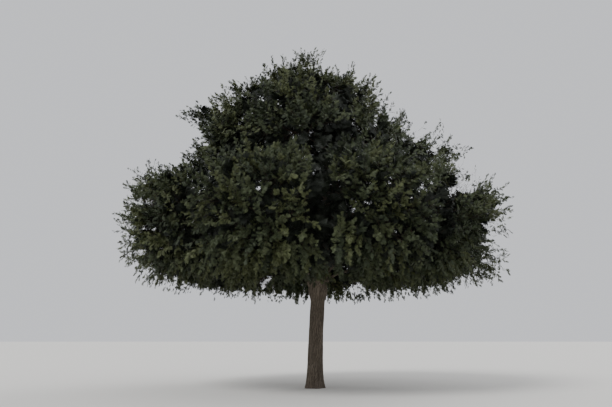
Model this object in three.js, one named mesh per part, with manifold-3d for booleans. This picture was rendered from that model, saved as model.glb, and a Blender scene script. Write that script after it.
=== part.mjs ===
// Umbrella acacia: a savanna tree with one short trunk and a dense, broad crown that is cut off level
// underneath, at the height that browsing animals reach. Millimetres, +Z up. The origin is the centre
// of the flat cut under the trunk, at ground level. The front faces -Y, and +X is the right-hand side.
//
// The crown is parted into masses of foliage, in tiers from the ground up. Each mass keeps to its own
// space and is carried by one bough. Three leaders part at the fork of the trunk, and each of them
// carries the boughs of its own third of the crown.

import * as THREE from "three";
import { mergeVertices } from "three/addons/utils/BufferGeometryUtils.js";
import Module from "manifold-3d";

const wasm = await Module();
wasm.setup();

// The outline of the crown. Each row is a height and how far the crown reaches there from the foot's
// upright, on the left and on the right. The front and the back lie half way between the two sides.
const OUTLINE = [
  [3120, 3900, 4100],
  [3400, 5100, 5100],
  [3900, 5900, 5950],
  [4500, 6400, 6250],
  [5400, 6550, 6400],
  [6000, 6450, 6300],
  [6600, 5900, 5700],
  [7200, 4900, 5250],
  [7800, 4450, 4500],
  [8400, 4400, 3600],
  [9000, 4300, 3250],
  [9600, 3700, 2700],
  [10200, 2950, 2250],
  [10800, 2100, 1400],
  [11400, 1200, 550],
  [12000, 250, 200],
];
const CROWN_HEIGHTS = OUTLINE.map(([height]) => height);
const LEFT_REACH = OUTLINE.map(([, left]) => left);
const RIGHT_REACH = OUTLINE.map(([, , right]) => right);
const BROWSE_LINE = CROWN_HEIGHTS[0];
const TREE_HEIGHT = CROWN_HEIGHTS.at(-1);

// Lobes that stand out of that outline, as balls: the crest, the two shoulders of the broad tier below
// and the two tufts above them.
const LOBES = [
  { x: -150, z: 11200, radius: 750 },
  { x: -3850, z: 9300, radius: 850 },
  { x: -5350, z: 6250, radius: 1200 },
  { x: 4450, z: 8150, radius: 850 },
  { x: 5850, z: 6500, radius: 1000 },
];

// Trunk
const TRUNK_RADIUS = 248; // at chest height
const TRUNK_TAPER = 0.07; // share of the radius lost between the ground and the fork
const FOOT_LENGTH = 40; // below ground level, where it is cut off flat
const FORK_HEIGHT = 3800; // the rounded top on which the leaders stand
const FORK_OFFSET = 150; // the trunk leans this far to the right by its fork
const FORK_SWELL = 0.05; // share by which the trunk thickens under the fork
const DOME_SHARE = 0.1; // the last tenth of the trunk's length rounds off
const FLARE_SHARE = 0.4; // extra radius at the ground
const FLARE_HEIGHT = 380; // over which the flare dies away
const ROOT_RIDGES = 5; // buttresses in the flare
const RIDGE_SHARE = 0.35; // how deep they are, as a share of the flare

// Leaders and boughs
const BOUGH_TIP_RADIUS = 42; // where a bough enters its mass
const SEAT_GAP = 0.3; // between a limb's foot and what carries it
const BOUGH_PULL = 0.36; // length of a bough curve's two handles, as a share of its span

// Tiers of foliage, from the ground up. Centres stand at a height, at a share of the crown's reach
// there, evenly round the crown from a first azimuth. A bough leaves its limb at a share of that
// limb's length, rises at one angle as it leaves and at another as it comes to its mass, and ends a
// stem's length short of the centre. The skirt hangs from the trunk itself, and the top masses stand
// on the leaders.
const TIERS = [
  {
    name: "skirt", count: 3, height: 4200, share: 0.33, azimuth: 110,
    start: 0.84, foot: 70, leave: 42, arrive: 10, stem: 1000,
  },
  {
    name: "lower", count: 9, height: 5000, share: 0.7, azimuth: 10,
    start: 0.15, foot: 98, leave: 34, arrive: 6, stem: 1350,
  },
  {
    name: "middle", count: 6, height: 8300, share: 0.58, azimuth: 20,
    start: 0.42, foot: 88, leave: 52, arrive: 38, stem: 1150,
  },
  {
    name: "top", count: 3, height: 10200, share: 0.4, azimuth: 50,
    start: 0.82, foot: 172, leave: 56, arrive: 98, stem: 1150,
  },
];
const START_STEP = 0.07; // neighbours leave their limb this much further along
const HEIGHT_JITTER = 260;
const AZIMUTH_JITTER = 5; // degrees

// Foliage
const SEED = 12;
const WALL_GAP = 90; // a mass stays this far inside its own space
const STEM_LENGTH = 420; // straight stretch of the stem, before it branches
const CORE_SHARE = 0.88; // the dense core's reach, as a share of the way to the crown's outside
const CORE_INNER_SHARE = 0.95; // and of the way to a neighbour's space
const CORE_LIMIT = 1900;
const CORE_ROUGHNESS = 0.24; // share by which some of its points stand back
const CORE_DETAIL = 1;
const CORE_CLEARANCE = 25; // between a core and a limb that passes through it
const DIRECTIONS = 56; // in which a mass looks for places on the crown's outside
const LOBE_DIRECTIONS = 9; // in which a lobe looks for more
const FORK_SHARE = 0.42; // how far a branch runs towards the middle of its tips before it forks
const TUFT = 3; // most sprays on one twig
const TUFT_SPREAD = 0.5; // the share of a twig over which its sprays leave it
const TWIG_RADIUS = 14;
const THICKENING = 0.42; // a branch's radius grows with this power of the sprays it serves
const SPRAY_LENGTH = 850;
const SPRAY_WIDTH = 420;
const SPRAY_THICKNESS = 26;
const SPRAY_ROLL = 0.6; // radians either way
const TWIG_CLEARANCE = 30; // between foliage and a limb

const MARCH_STEP = 40; // along a line that looks for the edge of a space
const DEGREE = Math.PI / 180;
const UP = new THREE.Vector3(0, 0, 1);

const bark = new THREE.MeshStandardMaterial({ color: 0x574a3e, roughness: 0.95, metalness: 0 });
const foliage = new THREE.MeshStandardMaterial({ color: 0x3e4a22, roughness: 0.7, metalness: 0 });

// A stream of numbers from 0 to 1 that is the same on every run.
function seeded(seed) {
  let state = seed;
  return () => {
    state = (state + 0x6d2b79f5) | 0;
    let mixed = Math.imul(state ^ (state >>> 15), 1 | state);
    mixed = (mixed + Math.imul(mixed ^ (mixed >>> 7), 61 | mixed)) ^ mixed;
    return ((mixed ^ (mixed >>> 14)) >>> 0) / 4294967296;
  };
}

function interpolate(places, values, place) {
  if (place <= places[0]) return values[0];
  for (let i = 1; i < places.length; i++) {
    if (place > places[i]) continue;
    const share = (place - places[i - 1]) / (places[i] - places[i - 1]);
    return THREE.MathUtils.lerp(values[i - 1], values[i], share);
  }
  return values.at(-1);
}

// How far the crown reaches from the foot's upright at a height, in one direction.
function reach(height, azimuth) {
  const left = interpolate(CROWN_HEIGHTS, LEFT_REACH, height);
  const right = interpolate(CROWN_HEIGHTS, RIGHT_REACH, height);
  return THREE.MathUtils.lerp(left, right, 0.5 + 0.5 * Math.cos(azimuth));
}

function insideCrown(point) {
  if (point.z < BROWSE_LINE || point.z > TREE_HEIGHT) return false;
  if (Math.hypot(point.x, point.y) <= reach(point.z, Math.atan2(point.y, point.x))) return true;
  return LOBES.some(({ x, z, radius }) => Math.hypot(point.x - x, point.y, point.z - z) <= radius);
}

function atAzimuth(radius, azimuth, height) {
  return new THREE.Vector3(radius * Math.cos(azimuth), radius * Math.sin(azimuth), height);
}

// The direction that rises at an angle, in degrees, towards an azimuth.
function risingAt(rise, azimuth) {
  return atAzimuth(Math.cos(rise * DEGREE), azimuth, Math.sin(rise * DEGREE));
}

// A mesh's geometry with its places only.
function bare(geometry) {
  geometry.deleteAttribute("normal");
  geometry.deleteAttribute("uv");
  return geometry;
}

// A closed mesh as a solid, and a solid as a mesh's geometry.
function solidOf(geometry) {
  const merged = mergeVertices(bare(geometry), 1e-3);
  const vertProperties = merged.attributes.position.array;
  const triVerts = new Uint32Array(merged.index.array);
  return new wasm.Manifold(new wasm.Mesh({ numProp: 3, vertProperties, triVerts }));
}

function geometryOf(solid) {
  const { vertProperties, triVerts } = solid.getMesh();
  const geometry = new THREE.BufferGeometry();
  geometry.setAttribute("position", new THREE.BufferAttribute(vertProperties, 3));
  geometry.setIndex(new THREE.BufferAttribute(triVerts, 1));
  geometry.computeVertexNormals();
  return geometry;
}

// The largest piece of a solid, without loose scraps and with its sealed hollows filled.
function largestPiece(solid) {
  return solid.decompose().reduce((a, b) => (b.volume() > a.volume() ? b : a));
}

// A closed rod along a curve: a cylinder whose rings are laid across the curve and sized by
// radiusAt(share of the length, angle round the rod). It can be grown on all sides by a distance.
function rodAlong({ curve, radiusAt, sides, steps }, growth = 0) {
  const geometry = new THREE.CylinderGeometry(1, 1, 1, sides, steps);
  const { tangents, normals, binormals } = curve.computeFrenetFrames(steps);
  const ring = new THREE.Vector3();
  const { position } = geometry.attributes;
  for (let i = 0; i < position.count; i++) {
    ring.fromBufferAttribute(position, i);
    const step = Math.round((ring.y + 0.5) * steps);
    const radius = radiusAt(step / steps, Math.atan2(ring.z, ring.x)) + growth;
    const place = curve.getPointAt(step / steps);
    if (step === 0) place.addScaledVector(tangents[step], -growth);
    if (step === steps) place.addScaledVector(tangents[step], growth);
    place.addScaledVector(binormals[step], ring.x * radius);
    place.addScaledVector(normals[step], ring.z * radius);
    position.setXYZ(i, place.x, place.y, place.z);
  }
  return geometry;
}

// A straight three-sided rod between two points, tapering from one radius to the other.
function twigBetween(from, to, fromRadius, toRadius) {
  const length = from.distanceTo(to);
  const along = to.clone().sub(from).normalize();
  const turn = new THREE.Quaternion().setFromUnitVectors(new THREE.Vector3(0, 1, 0), along);
  const middle = from.clone().lerp(to, 0.5);
  const rod = new THREE.CylinderGeometry(toRadius, fromRadius, length, 3);
  return rod.applyQuaternion(turn).translate(middle.x, middle.y, middle.z);
}

// The trunk's radius: a flare with root ridges at the ground, a swelling under the fork, a round top.
function trunkRadius(share, angle) {
  const height = share * FORK_HEIGHT;
  const flare = FLARE_SHARE * Math.exp(-height / FLARE_HEIGHT);
  const ridges = 1 + RIDGE_SHARE * Math.cos(ROOT_RIDGES * angle);
  const swell = FORK_SWELL * THREE.MathUtils.smoothstep(share, 0.6, 1 - DOME_SHARE);
  const overDome = Math.max(0, (share - 1 + DOME_SHARE) / DOME_SHARE);
  const outline = 1 - TRUNK_TAPER * share + flare * ridges + swell;
  return TRUNK_RADIUS * outline * Math.sqrt(1 - 0.96 * overDome ** 2);
}

function makeTrunk() {
  const foot = new THREE.Vector3(0, 0, -FOOT_LENGTH);
  const low = new THREE.Vector3(0, 0, 0.33 * FORK_HEIGHT);
  const high = new THREE.Vector3(0.8 * FORK_OFFSET, 0, 0.67 * FORK_HEIGHT);
  const fork = new THREE.Vector3(FORK_OFFSET, 0, FORK_HEIGHT);
  const curve = new THREE.CubicBezierCurve3(foot, low, high, fork);
  return { name: "trunk", curve, radiusAt: trunkRadius, sides: 16, steps: 14 };
}

// A bough from a limb to a mass. It leaves towards the mass, in plan, and comes to its tip in the
// direction in which the mass is entered.
function makeBough(name, mass, limb, start) {
  const { foot, leave } = mass.tier;
  const root = limb.curve.getPoint(start);
  const leaving = risingAt(leave, Math.atan2(mass.entry.y - root.y, mass.entry.x - root.x));
  const pull = BOUGH_PULL * root.distanceTo(mass.entry);
  const curve = new THREE.CubicBezierCurve3(
    root,
    root.clone().addScaledVector(leaving, pull),
    mass.entry.clone().addScaledVector(mass.arrival, -pull),
    mass.entry,
  );
  const radiusAt = (share) => THREE.MathUtils.lerp(foot, BOUGH_TIP_RADIUS, share ** 0.8);
  const heavy = foot > 100;
  return { name, curve, radiusAt, sides: heavy ? 8 : 6, steps: heavy ? 8 : 6 };
}

// The centres of the masses, tier by tier, with the point and the direction in which each is entered.
function layOutMasses() {
  const random = seeded(SEED);
  const masses = [];
  for (const tier of TIERS) {
    for (let i = 0; i < tier.count; i++) {
      const turn = tier.azimuth + (360 / tier.count) * i + AZIMUTH_JITTER * (2 * random() - 1);
      const height = tier.height + HEIGHT_JITTER * (2 * random() - 1);
      const azimuth = turn * DEGREE;
      const centre = atAzimuth(tier.share * reach(height, azimuth), azimuth, height);
      const arrival = risingAt(tier.arrive, azimuth);
      const entry = centre.clone().addScaledVector(arrival, -tier.stem);
      masses.push({ name: `${tier.name}_${i + 1}`, tier, index: i, centre, arrival, entry });
    }
  }
  return masses;
}

// The trunk, the leaders that carry the top masses, and then every other bough.
function layOutLimbs(masses) {
  const trunk = makeTrunk();
  const [skirt, lower, middle, top] = TIERS.map((tier) => masses.filter((mass) => mass.tier === tier));
  const leaders = top.map((mass, i) => makeBough(`leader_${i + 1}`, mass, trunk, mass.tier.start));
  const fromLeaders = (tierMasses) =>
    tierMasses.map((mass, i) => {
      const perLeader = tierMasses.length / leaders.length;
      const leader = leaders[Math.floor(i / perLeader)];
      const start = mass.tier.start + START_STEP * (i % perLeader);
      return makeBough(`${mass.tier.name}_bough_${i + 1}`, mass, leader, start);
    });
  const fromTrunk = skirt.map((mass, i) => makeBough(`skirt_bough_${i + 1}`, mass, trunk, mass.tier.start));
  return [trunk, ...leaders, ...fromLeaders(middle), ...fromLeaders(lower), ...fromTrunk];
}

// Each limb is cut clear of those before it, so that its foot fits the side of what carries it, and
// the trunk is cut off level with the ground.
function growLimbs(limbs) {
  const earlier = [];
  for (const limb of limbs) {
    const cut = earlier.reduce((solid, other) => solid.subtract(other), solidOf(rodAlong(limb)));
    limb.solid = largestPiece(cut.trimByPlane([0, 0, 1], 0));
    earlier.push(solidOf(rodAlong(limb, SEAT_GAP)));
  }
}

// Whether a point lies within a clearance of any limb.
function nearLimb(point, limbs, clearance) {
  return limbs.some(({ samples }) =>
    samples.some(({ place, radius }) => place.distanceTo(point) < radius + clearance),
  );
}

function sampleLimb(limb) {
  const count = Math.ceil(limb.curve.getLength() / 60);
  limb.samples = Array.from({ length: count + 1 }, (_, i) => {
    const share = i / count;
    return { place: limb.curve.getPointAt(share), radius: limb.radiusAt(share, 0) };
  });
}

// A mass's own space: nearer to its centre than to any other, and ahead of where its bough ends.
function inOwnSpace(mass, masses, point) {
  if (point.clone().sub(mass.entry).dot(mass.arrival) < WALL_GAP) return false;
  return masses.every((other) => {
    if (other === mass) return true;
    const across = other.centre.clone().sub(mass.centre);
    const middle = mass.centre.clone().lerp(other.centre, 0.5);
    return point.clone().sub(middle).dot(across) / across.length() < -WALL_GAP;
  });
}

// How far the space reaches from its centre in a direction, and whether it ends at the crown's outside.
function edgeOfSpace(mass, masses, direction) {
  for (let distance = MARCH_STEP; ; distance += MARCH_STEP) {
    const point = mass.centre.clone().addScaledVector(direction, distance);
    if (!inOwnSpace(mass, masses, point)) return { distance: distance - MARCH_STEP, outside: false };
    if (!insideCrown(point)) return { distance: distance - MARCH_STEP, outside: true };
  }
}

// Directions spread evenly over a sphere, along a spiral.
function spreadDirections(count) {
  const goldenAngle = Math.PI * (3 - Math.sqrt(5));
  return Array.from({ length: count }, (_, i) => {
    const z = 1 - (2 * i + 1) / count;
    const radius = Math.sqrt(1 - z * z);
    return new THREE.Vector3(radius * Math.cos(goldenAngle * i), radius * Math.sin(goldenAngle * i), z);
  });
}

// Places on the crown's outside that a mass looks out on.
function outerTips(mass, masses) {
  return spreadDirections(DIRECTIONS).flatMap((direction) => {
    const { distance, outside } = edgeOfSpace(mass, masses, direction);
    return outside ? [mass.centre.clone().addScaledVector(direction, distance)] : [];
  });
}

// Places on the parts of the lobes that stand out of the crown and lie in a mass's own space.
function lobeTips(mass, masses) {
  const places = LOBES.flatMap(({ x, z, radius }) => {
    const centre = new THREE.Vector3(x, 0, z);
    const directions = spreadDirections(LOBE_DIRECTIONS);
    return directions.map((direction) => direction.setLength(0.97 * radius).add(centre));
  });
  return places.filter((place) => {
    const outline = reach(place.z, Math.atan2(place.y, place.x));
    return Math.hypot(place.x, place.y) > outline && inOwnSpace(mass, masses, place);
  });
}

// The dense heart of a mass: a rough ball whose points are pushed out towards the edge of its space,
// cut clear of the limbs that pass.
function coreSolid(mass, masses, limbs, random) {
  const geometry = mergeVertices(bare(new THREE.IcosahedronGeometry(1, CORE_DETAIL)), 1e-4);
  const { position } = geometry.attributes;
  const direction = new THREE.Vector3();
  for (let i = 0; i < position.count; i++) {
    direction.fromBufferAttribute(position, i).normalize();
    const { distance, outside } = edgeOfSpace(mass, masses, direction);
    const share = (outside ? CORE_SHARE : CORE_INNER_SHARE) * (1 - CORE_ROUGHNESS * random());
    direction.multiplyScalar(Math.min(CORE_LIMIT, share * distance)).add(mass.centre);
    position.setXYZ(i, direction.x, direction.y, direction.z);
  }
  const passing = limbs.map((limb) => solidOf(rodAlong(limb, CORE_CLEARANCE)));
  return largestPiece(passing.reduce((solid, limb) => solid.subtract(limb), solidOf(geometry)));
}

// An eight-faced blade that stands for a spray of leaves, from its root to its tip.
function sprayGeometry(root, tip, roll) {
  const along = tip.clone().sub(root).normalize();
  const level = Math.abs(along.z) < 0.95 ? UP.clone() : new THREE.Vector3(1, 0, 0);
  const across = level.cross(along).normalize().applyAxisAngle(along, roll);
  const basis = new THREE.Matrix4().makeBasis(across, along.clone().cross(across), along);
  basis.setPosition(root.clone().lerp(tip, 0.5));
  const blade = new THREE.OctahedronGeometry(1);
  return blade.scale(SPRAY_WIDTH / 2, SPRAY_THICKNESS / 2, root.distanceTo(tip) / 2).applyMatrix4(basis);
}

function cornersOf(geometry) {
  const { position } = geometry.attributes;
  const corner = (_, i) => new THREE.Vector3().fromBufferAttribute(position, i);
  return Array.from({ length: position.count }, corner);
}

function pointsBetween(from, to, count) {
  return Array.from({ length: count }, (_, i) => from.clone().lerp(to, (i + 0.5) / count));
}

// Parts tips into two halves, across the line on which they lie furthest apart.
function partTips(tips, middle) {
  const furthest = (from) => tips.reduce((a, b) => (b.distanceTo(from) > a.distanceTo(from) ? b : a));
  const oneEnd = furthest(middle);
  const otherEnd = furthest(oneEnd);
  const line = otherEnd.clone().sub(oneEnd);
  const sorted = [...tips].sort((a, b) => a.dot(line) - b.dot(line));
  const half = Math.ceil(sorted.length / 2);
  return [sorted.slice(0, half), sorted.slice(half)];
}

function middleOf(points) {
  return points.reduce((sum, point) => sum.add(point), new THREE.Vector3()).divideScalar(points.length);
}

// Grows branches from a root to a set of tips. A branch runs part of the way to the middle of its
// tips and forks in two, until a twig serves few enough tips to carry their sprays itself.
function branchOut(root, tips, grow) {
  const middle = middleOf(tips);
  const radius = TWIG_RADIUS * tips.length ** THICKENING;
  if (tips.length <= TUFT) {
    grow.tuft(root, middle, tips, radius);
    return;
  }
  const fork = root.clone().lerp(middle, FORK_SHARE);
  grow.branch(root, fork, radius);
  for (const half of partTips(tips, middle)) branchOut(fork, half, grow);
}

// The stem that runs on from a bough's flat tip, in line with it.
function layOutStem(mass) {
  const foot = mass.entry.clone().addScaledVector(mass.arrival, SEAT_GAP);
  const end = foot.clone().addScaledVector(mass.arrival, STEM_LENGTH);
  return { curve: new THREE.LineCurve3(foot, end), radiusAt: () => BOUGH_TIP_RADIUS, sides: 6, steps: 1 };
}

// The rod of a twig, sunk into what it grows from.
function twigSolid(from, to, radius, taper) {
  const sunk = from.clone().lerp(to, -radius / from.distanceTo(to));
  return solidOf(twigBetween(sunk, to, radius, taper * radius));
}

// What adds a mass's branches and tufts to its pieces. One that would leave the mass's space or come
// near a limb isn't grown.
function makeGrower(pieces, mass, masses, limbs, random) {
  const fits = (points) =>
    points.every((point) => inOwnSpace(mass, masses, point) && !nearLimb(point, limbs, TWIG_CLEARANCE));
  return {
    branch(from, to, radius) {
      if (fits(pointsBetween(from, to, 6))) pieces.push(twigSolid(from, to, radius, 0.85));
    },
    tuft(from, middle, tips, radius) {
      const twigShare = Math.max(0.3, 1 - (0.8 * SPRAY_LENGTH) / from.distanceTo(middle));
      const twigEnd = from.clone().lerp(middle, twigShare);
      const sprays = tips.map((tip, i) => {
        const sprayRoot = from.clone().lerp(twigEnd, 0.97 - (TUFT_SPREAD * i) / TUFT);
        return sprayGeometry(sprayRoot, tip, SPRAY_ROLL * (2 * random() - 1));
      });
      const fitting = sprays.filter((spray) => fits(cornersOf(spray)));
      if (fitting.length === 0 || !fits(pointsBetween(from, twigEnd, 6))) return;
      pieces.push(twigSolid(from, twigEnd, radius, 0.6), ...fitting.map(solidOf));
    },
  };
}

function growMass(mass, masses, limbs, random) {
  const near = limbs.filter(({ samples }) =>
    samples.some(({ place }) => place.distanceTo(mass.centre) < 2 * CORE_LIMIT),
  );
  const stem = layOutStem(mass);
  const pieces = [solidOf(rodAlong(stem)), coreSolid(mass, masses, near, random)];
  const tips = [...outerTips(mass, masses), ...lobeTips(mass, masses)];
  branchOut(stem.curve.v2, tips, makeGrower(pieces, mass, masses, near, random));
  return largestPiece(pieces.reduce((solid, piece) => solid.add(piece)));
}

// A named mesh that stands at its own place in the tree.
function placed(name, solid, place, material) {
  const geometry = geometryOf(solid).translate(-place.x, -place.y, -place.z);
  const mesh = new THREE.Mesh(geometry, material);
  mesh.name = name;
  mesh.position.copy(place);
  return mesh;
}

const masses = layOutMasses();
const limbs = layOutLimbs(masses);
growLimbs(limbs);
limbs.forEach(sampleLimb);

const woodwork = new THREE.Group();
for (const limb of limbs) woodwork.add(placed(limb.name, limb.solid, limb.curve.getPoint(0), bark));

const crown = new THREE.Group();
const random = seeded(SEED + 1);
for (const mass of masses) {
  crown.add(placed(`${mass.name}_foliage`, growMass(mass, masses, limbs, random), mass.centre, foliage));
}

const tree = new THREE.Group();
tree.add(woodwork, crown);

export default tree;
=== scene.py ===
"""Umbrella acacia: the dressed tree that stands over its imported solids.

The trunk and boughs get a skin with fissured bark. Each foliage mass is replaced by branches, shoots
and feathered leaves that grow on from its bough by the same rule as the solids, carried further.
"""

import math
from dataclasses import dataclass, field
from functools import lru_cache
from typing import NamedTuple

import bpy
import numpy as np
from mathutils.kdtree import KDTree
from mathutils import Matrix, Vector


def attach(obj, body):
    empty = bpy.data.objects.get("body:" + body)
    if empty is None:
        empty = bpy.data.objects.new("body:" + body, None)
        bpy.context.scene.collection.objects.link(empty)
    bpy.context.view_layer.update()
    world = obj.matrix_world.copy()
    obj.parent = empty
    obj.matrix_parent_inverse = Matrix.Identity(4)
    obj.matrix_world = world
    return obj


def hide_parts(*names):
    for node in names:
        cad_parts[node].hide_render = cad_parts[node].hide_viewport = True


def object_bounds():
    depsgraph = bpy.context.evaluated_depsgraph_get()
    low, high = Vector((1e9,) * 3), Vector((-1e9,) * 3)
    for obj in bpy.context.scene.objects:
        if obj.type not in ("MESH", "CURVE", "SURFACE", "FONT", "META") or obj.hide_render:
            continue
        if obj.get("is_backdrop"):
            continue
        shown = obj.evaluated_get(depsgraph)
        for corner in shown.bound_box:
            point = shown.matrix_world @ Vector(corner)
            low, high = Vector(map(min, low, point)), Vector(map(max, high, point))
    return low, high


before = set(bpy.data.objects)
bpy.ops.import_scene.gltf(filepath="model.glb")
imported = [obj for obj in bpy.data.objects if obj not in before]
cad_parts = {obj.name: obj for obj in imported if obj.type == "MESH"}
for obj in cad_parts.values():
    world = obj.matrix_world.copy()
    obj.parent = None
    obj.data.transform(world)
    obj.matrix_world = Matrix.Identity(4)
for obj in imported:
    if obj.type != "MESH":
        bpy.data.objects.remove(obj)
CAD_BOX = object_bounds()

bl_info = {
    "name": "Umbrella acacia",
    "version": (1, 0, 0),
    "blender": (4, 5, 0),
    "location": "View3D > Sidebar > Acacia",
    "description": "Bark, twigs and leaves for a browsed savanna acacia",
    "category": "Object",
}

# The crown's outline, as in the solids, from which the masses are laid out: a height, and how far the
# crown reaches there from the foot's upright on the left and on the right, in metres.
OUTLINE = np.array(
    [
        (3.12, 3.90, 4.10),
        (3.40, 5.10, 5.10),
        (3.90, 5.90, 5.95),
        (4.50, 6.40, 6.25),
        (5.40, 6.55, 6.40),
        (6.00, 6.45, 6.30),
        (6.60, 5.90, 5.70),
        (7.20, 4.90, 5.25),
        (7.80, 4.45, 4.50),
        (8.40, 4.40, 3.60),
        (9.00, 4.30, 3.25),
        (9.60, 3.70, 2.70),
        (10.20, 2.95, 2.25),
        (10.80, 2.10, 1.40),
        (11.40, 1.20, 0.55),
        (12.00, 0.25, 0.20),
    ]
)
# The same for the leaves, which follow the photographed edge more closely.
LEAF_OUTLINE = np.array(
    [
        (3.32, 4.20, 4.50),
        (3.45, 5.15, 5.10),
        (3.65, 5.75, 5.50),
        (3.90, 6.05, 5.80),
        (4.50, 6.40, 6.20),
        (5.40, 6.55, 6.35),
        (6.00, 6.50, 6.35),
        (6.60, 5.95, 5.30),
        (7.20, 4.72, 5.05),
        (7.80, 4.35, 4.70),
        (8.40, 4.45, 3.22),
        (8.70, 4.20, 2.80),
        (9.00, 3.95, 2.65),
        (9.60, 3.85, 2.80),
        (10.20, 3.10, 2.25),
        (10.80, 1.85, 1.15),
        (11.10, 1.35, 0.35),
        (11.40, 1.00, 0.15),
        (12.00, 0.20, 0.10),
    ]
)
BROWSE_LINE = LEAF_OUTLINE[0, 0]
TREE_HEIGHT = OUTLINE[-1, 0]

# Lobes that stand out of that outline, as balls: across, height and radius. Each stands again behind
# itself, turned about the foot's upright, and at least a step further back for each radian.
LOBE_TURNS = (0, 35, 70)
LOBE_STEP = 0.8
LOBES = [
    (-0.38, 11.18, 0.58),
    (-3.75, 9.25, 0.65),
    (-5.42, 6.28, 1.25),
    (4.10, 7.95, 0.70),
    (4.75, 7.90, 0.38),
    (5.02, 7.97, 0.32),
    (4.75, 7.45, 0.35),
    (5.85, 6.20, 0.90),
    (-2.60, 10.15, 0.62),
    (-1.35, 11.02, 0.58),
    (1.60, 10.40, 0.56),
    (2.48, 9.58, 0.44),
    (5.85, 4.05, 0.65),
    (6.25, 5.85, 0.45),
    (-4.42, 9.58, 0.40),
    (-3.98, 9.72, 0.36),
    (-4.15, 8.00, 0.35),
    (-3.50, 9.80, 0.45),
    (-2.95, 10.35, 0.40),
    (6.55, 6.38, 0.42),
    (-6.22, 4.60, 0.42),
    (1.30, 10.74, 0.34),
    (1.95, 10.50, 0.33),
    (3.00, 9.42, 0.45),
    (4.60, 7.68, 0.36),
    (-1.02, 11.25, 0.40),
    (-6.28, 6.55, 0.36),
]

# Tufts at the crown's edge, where the outline stands out a little: across and height.
CRESTS = [
    (-0.35, 11.70),
    (-1.35, 11.45),
    (1.20, 10.82),
    (1.95, 10.40),
    (2.50, 9.85),
    (3.00, 9.45),
    (-2.30, 10.60),
    (-3.60, 9.78),
    (-4.50, 9.60),
    (-5.85, 7.35),
    (-6.55, 6.60),
    (-6.70, 5.40),
    (-6.50, 4.40),
    (-5.60, 3.60),
    (4.10, 8.60),
    (4.95, 7.95),
    (6.10, 7.10),
    (6.70, 6.50),
    (6.60, 5.60),
    (6.40, 4.40),
    (5.85, 3.70),
]

# Tips of the longest sprays that stand out of the edge: across, height and how many strands each has.
LONG_SPRAYS = [
    (-0.55, 12.03, 3),
    (-0.27, 12.05, 3),
    (-0.02, 12.05, 3),
    (0.36, 12.03, 5),
    (0.90, 11.42, 2),
    (1.42, 11.58, 4),
    (2.24, 10.98, 4),
    (3.25, 9.60, 4),
    (4.52, 9.15, 4),
    (4.95, 8.65, 4),
    (4.85, 8.10, 5),
    (5.12, 7.95, 5),
    (5.60, 8.15, 4),
    (5.30, 7.62, 2),
    (5.65, 7.40, 5),
    (6.28, 7.15, 4),
    (6.95, 6.44, 4),
    (6.62, 5.42, 3),
    (6.75, 5.15, 4),
    (6.60, 4.45, 4),
    (-6.60, 4.28, 4),
    (-6.45, 7.45, 4),
    (-5.95, 7.74, 4),
    (-5.60, 7.72, 3),
    (-4.66, 9.60, 7),
    (-2.90, 10.74, 3),
    (-2.16, 10.92, 3),
    (-1.55, 11.72, 3),
    (-1.10, 11.82, 4),
]
STRAND_SPREAD = 0.09  # of a spray's strands about its tip
SPRAY_BEND = np.array([0.7, 0.7, 0.5])  # share of the way at which a strand turns upwards

# Trunk, as in the solids
TRUNK_RADIUS = 0.248
TRUNK_TAPER = 0.07
FOOT_LENGTH = 0.04
FORK_HEIGHT = 3.80
FORK_OFFSET = 0.15
FORK_SWELL = 0.05
DOME_SHARE = 0.1
FLARE_SHARE = 0.4
FLARE_HEIGHT = 0.38
ROOT_RIDGES = 5
RIDGE_SHARE = 0.35

# Leaders and boughs, as in the solids
BOUGH_TIP_RADIUS = 0.042
BOUGH_PULL = 0.36
START_STEP = 0.07
STEM_LENGTH = 0.42


@dataclass(frozen=True)
class Tier:
    """One storey of the crown: where its masses stand and how its boughs reach them."""

    name: str
    count: int
    height: float
    share: float  # of the crown's reach at which the masses stand
    azimuth: float  # of the first mass, in degrees
    start: float  # share of its carrier at which a bough starts
    foot: float  # the bough's radius there
    leave: float  # how steeply it rises there, in degrees
    arrive: float  # how steeply it rises into its mass, in degrees
    stem: float  # from there to the mass's middle


TIERS = [
    Tier("skirt", 3, 4.2, 0.33, 110, 0.84, 0.070, 42, 10, 1.00),
    Tier("lower", 9, 5.0, 0.70, 10, 0.15, 0.098, 34, 6, 1.35),
    Tier("middle", 6, 8.3, 0.58, 20, 0.42, 0.088, 52, 38, 1.15),
    Tier("top", 3, 10.2, 0.40, 50, 0.82, 0.172, 56, 98, 1.15),
]
HEIGHT_JITTER = 0.26
AZIMUTH_JITTER = 5
SEED = 12
GROWTH_SEED = 19  # of the crown's own draws, which the solids don't share

# Bark
BARK_NAME = "fissured acacia bark"
FURROW_SHARE = 0.42  # of a plate's half width is taken up by the slope into the furrow
FINE_SHARE = 0.28  # of the relief is that of finer plates
LEVEL_BARK = 0.7  # the relief, from 0 to 1, that lies at the limb's own radius
UNEVENNESS = 0.022  # share of a limb's radius by which its sides swell
UNEVEN_LENGTH = 2.2  # of the longest swell along a limb
COLLAR_SHARE = 1.4  # a collar reaches this many foot radii from a joint's seam
JOINT_REACH = 0.9  # collars are looked for this near to a joint
CENTRE_STEP = 0.06  # between the points of a limb's centre line
# How finely a limb's skin is drawn: corners around it, and metres between its rings
TRUNK_MESH = (176, 0.012)
LEADER_MESH = (60, 0.034)
BOUGH_MESH = (32, 0.045)

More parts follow.
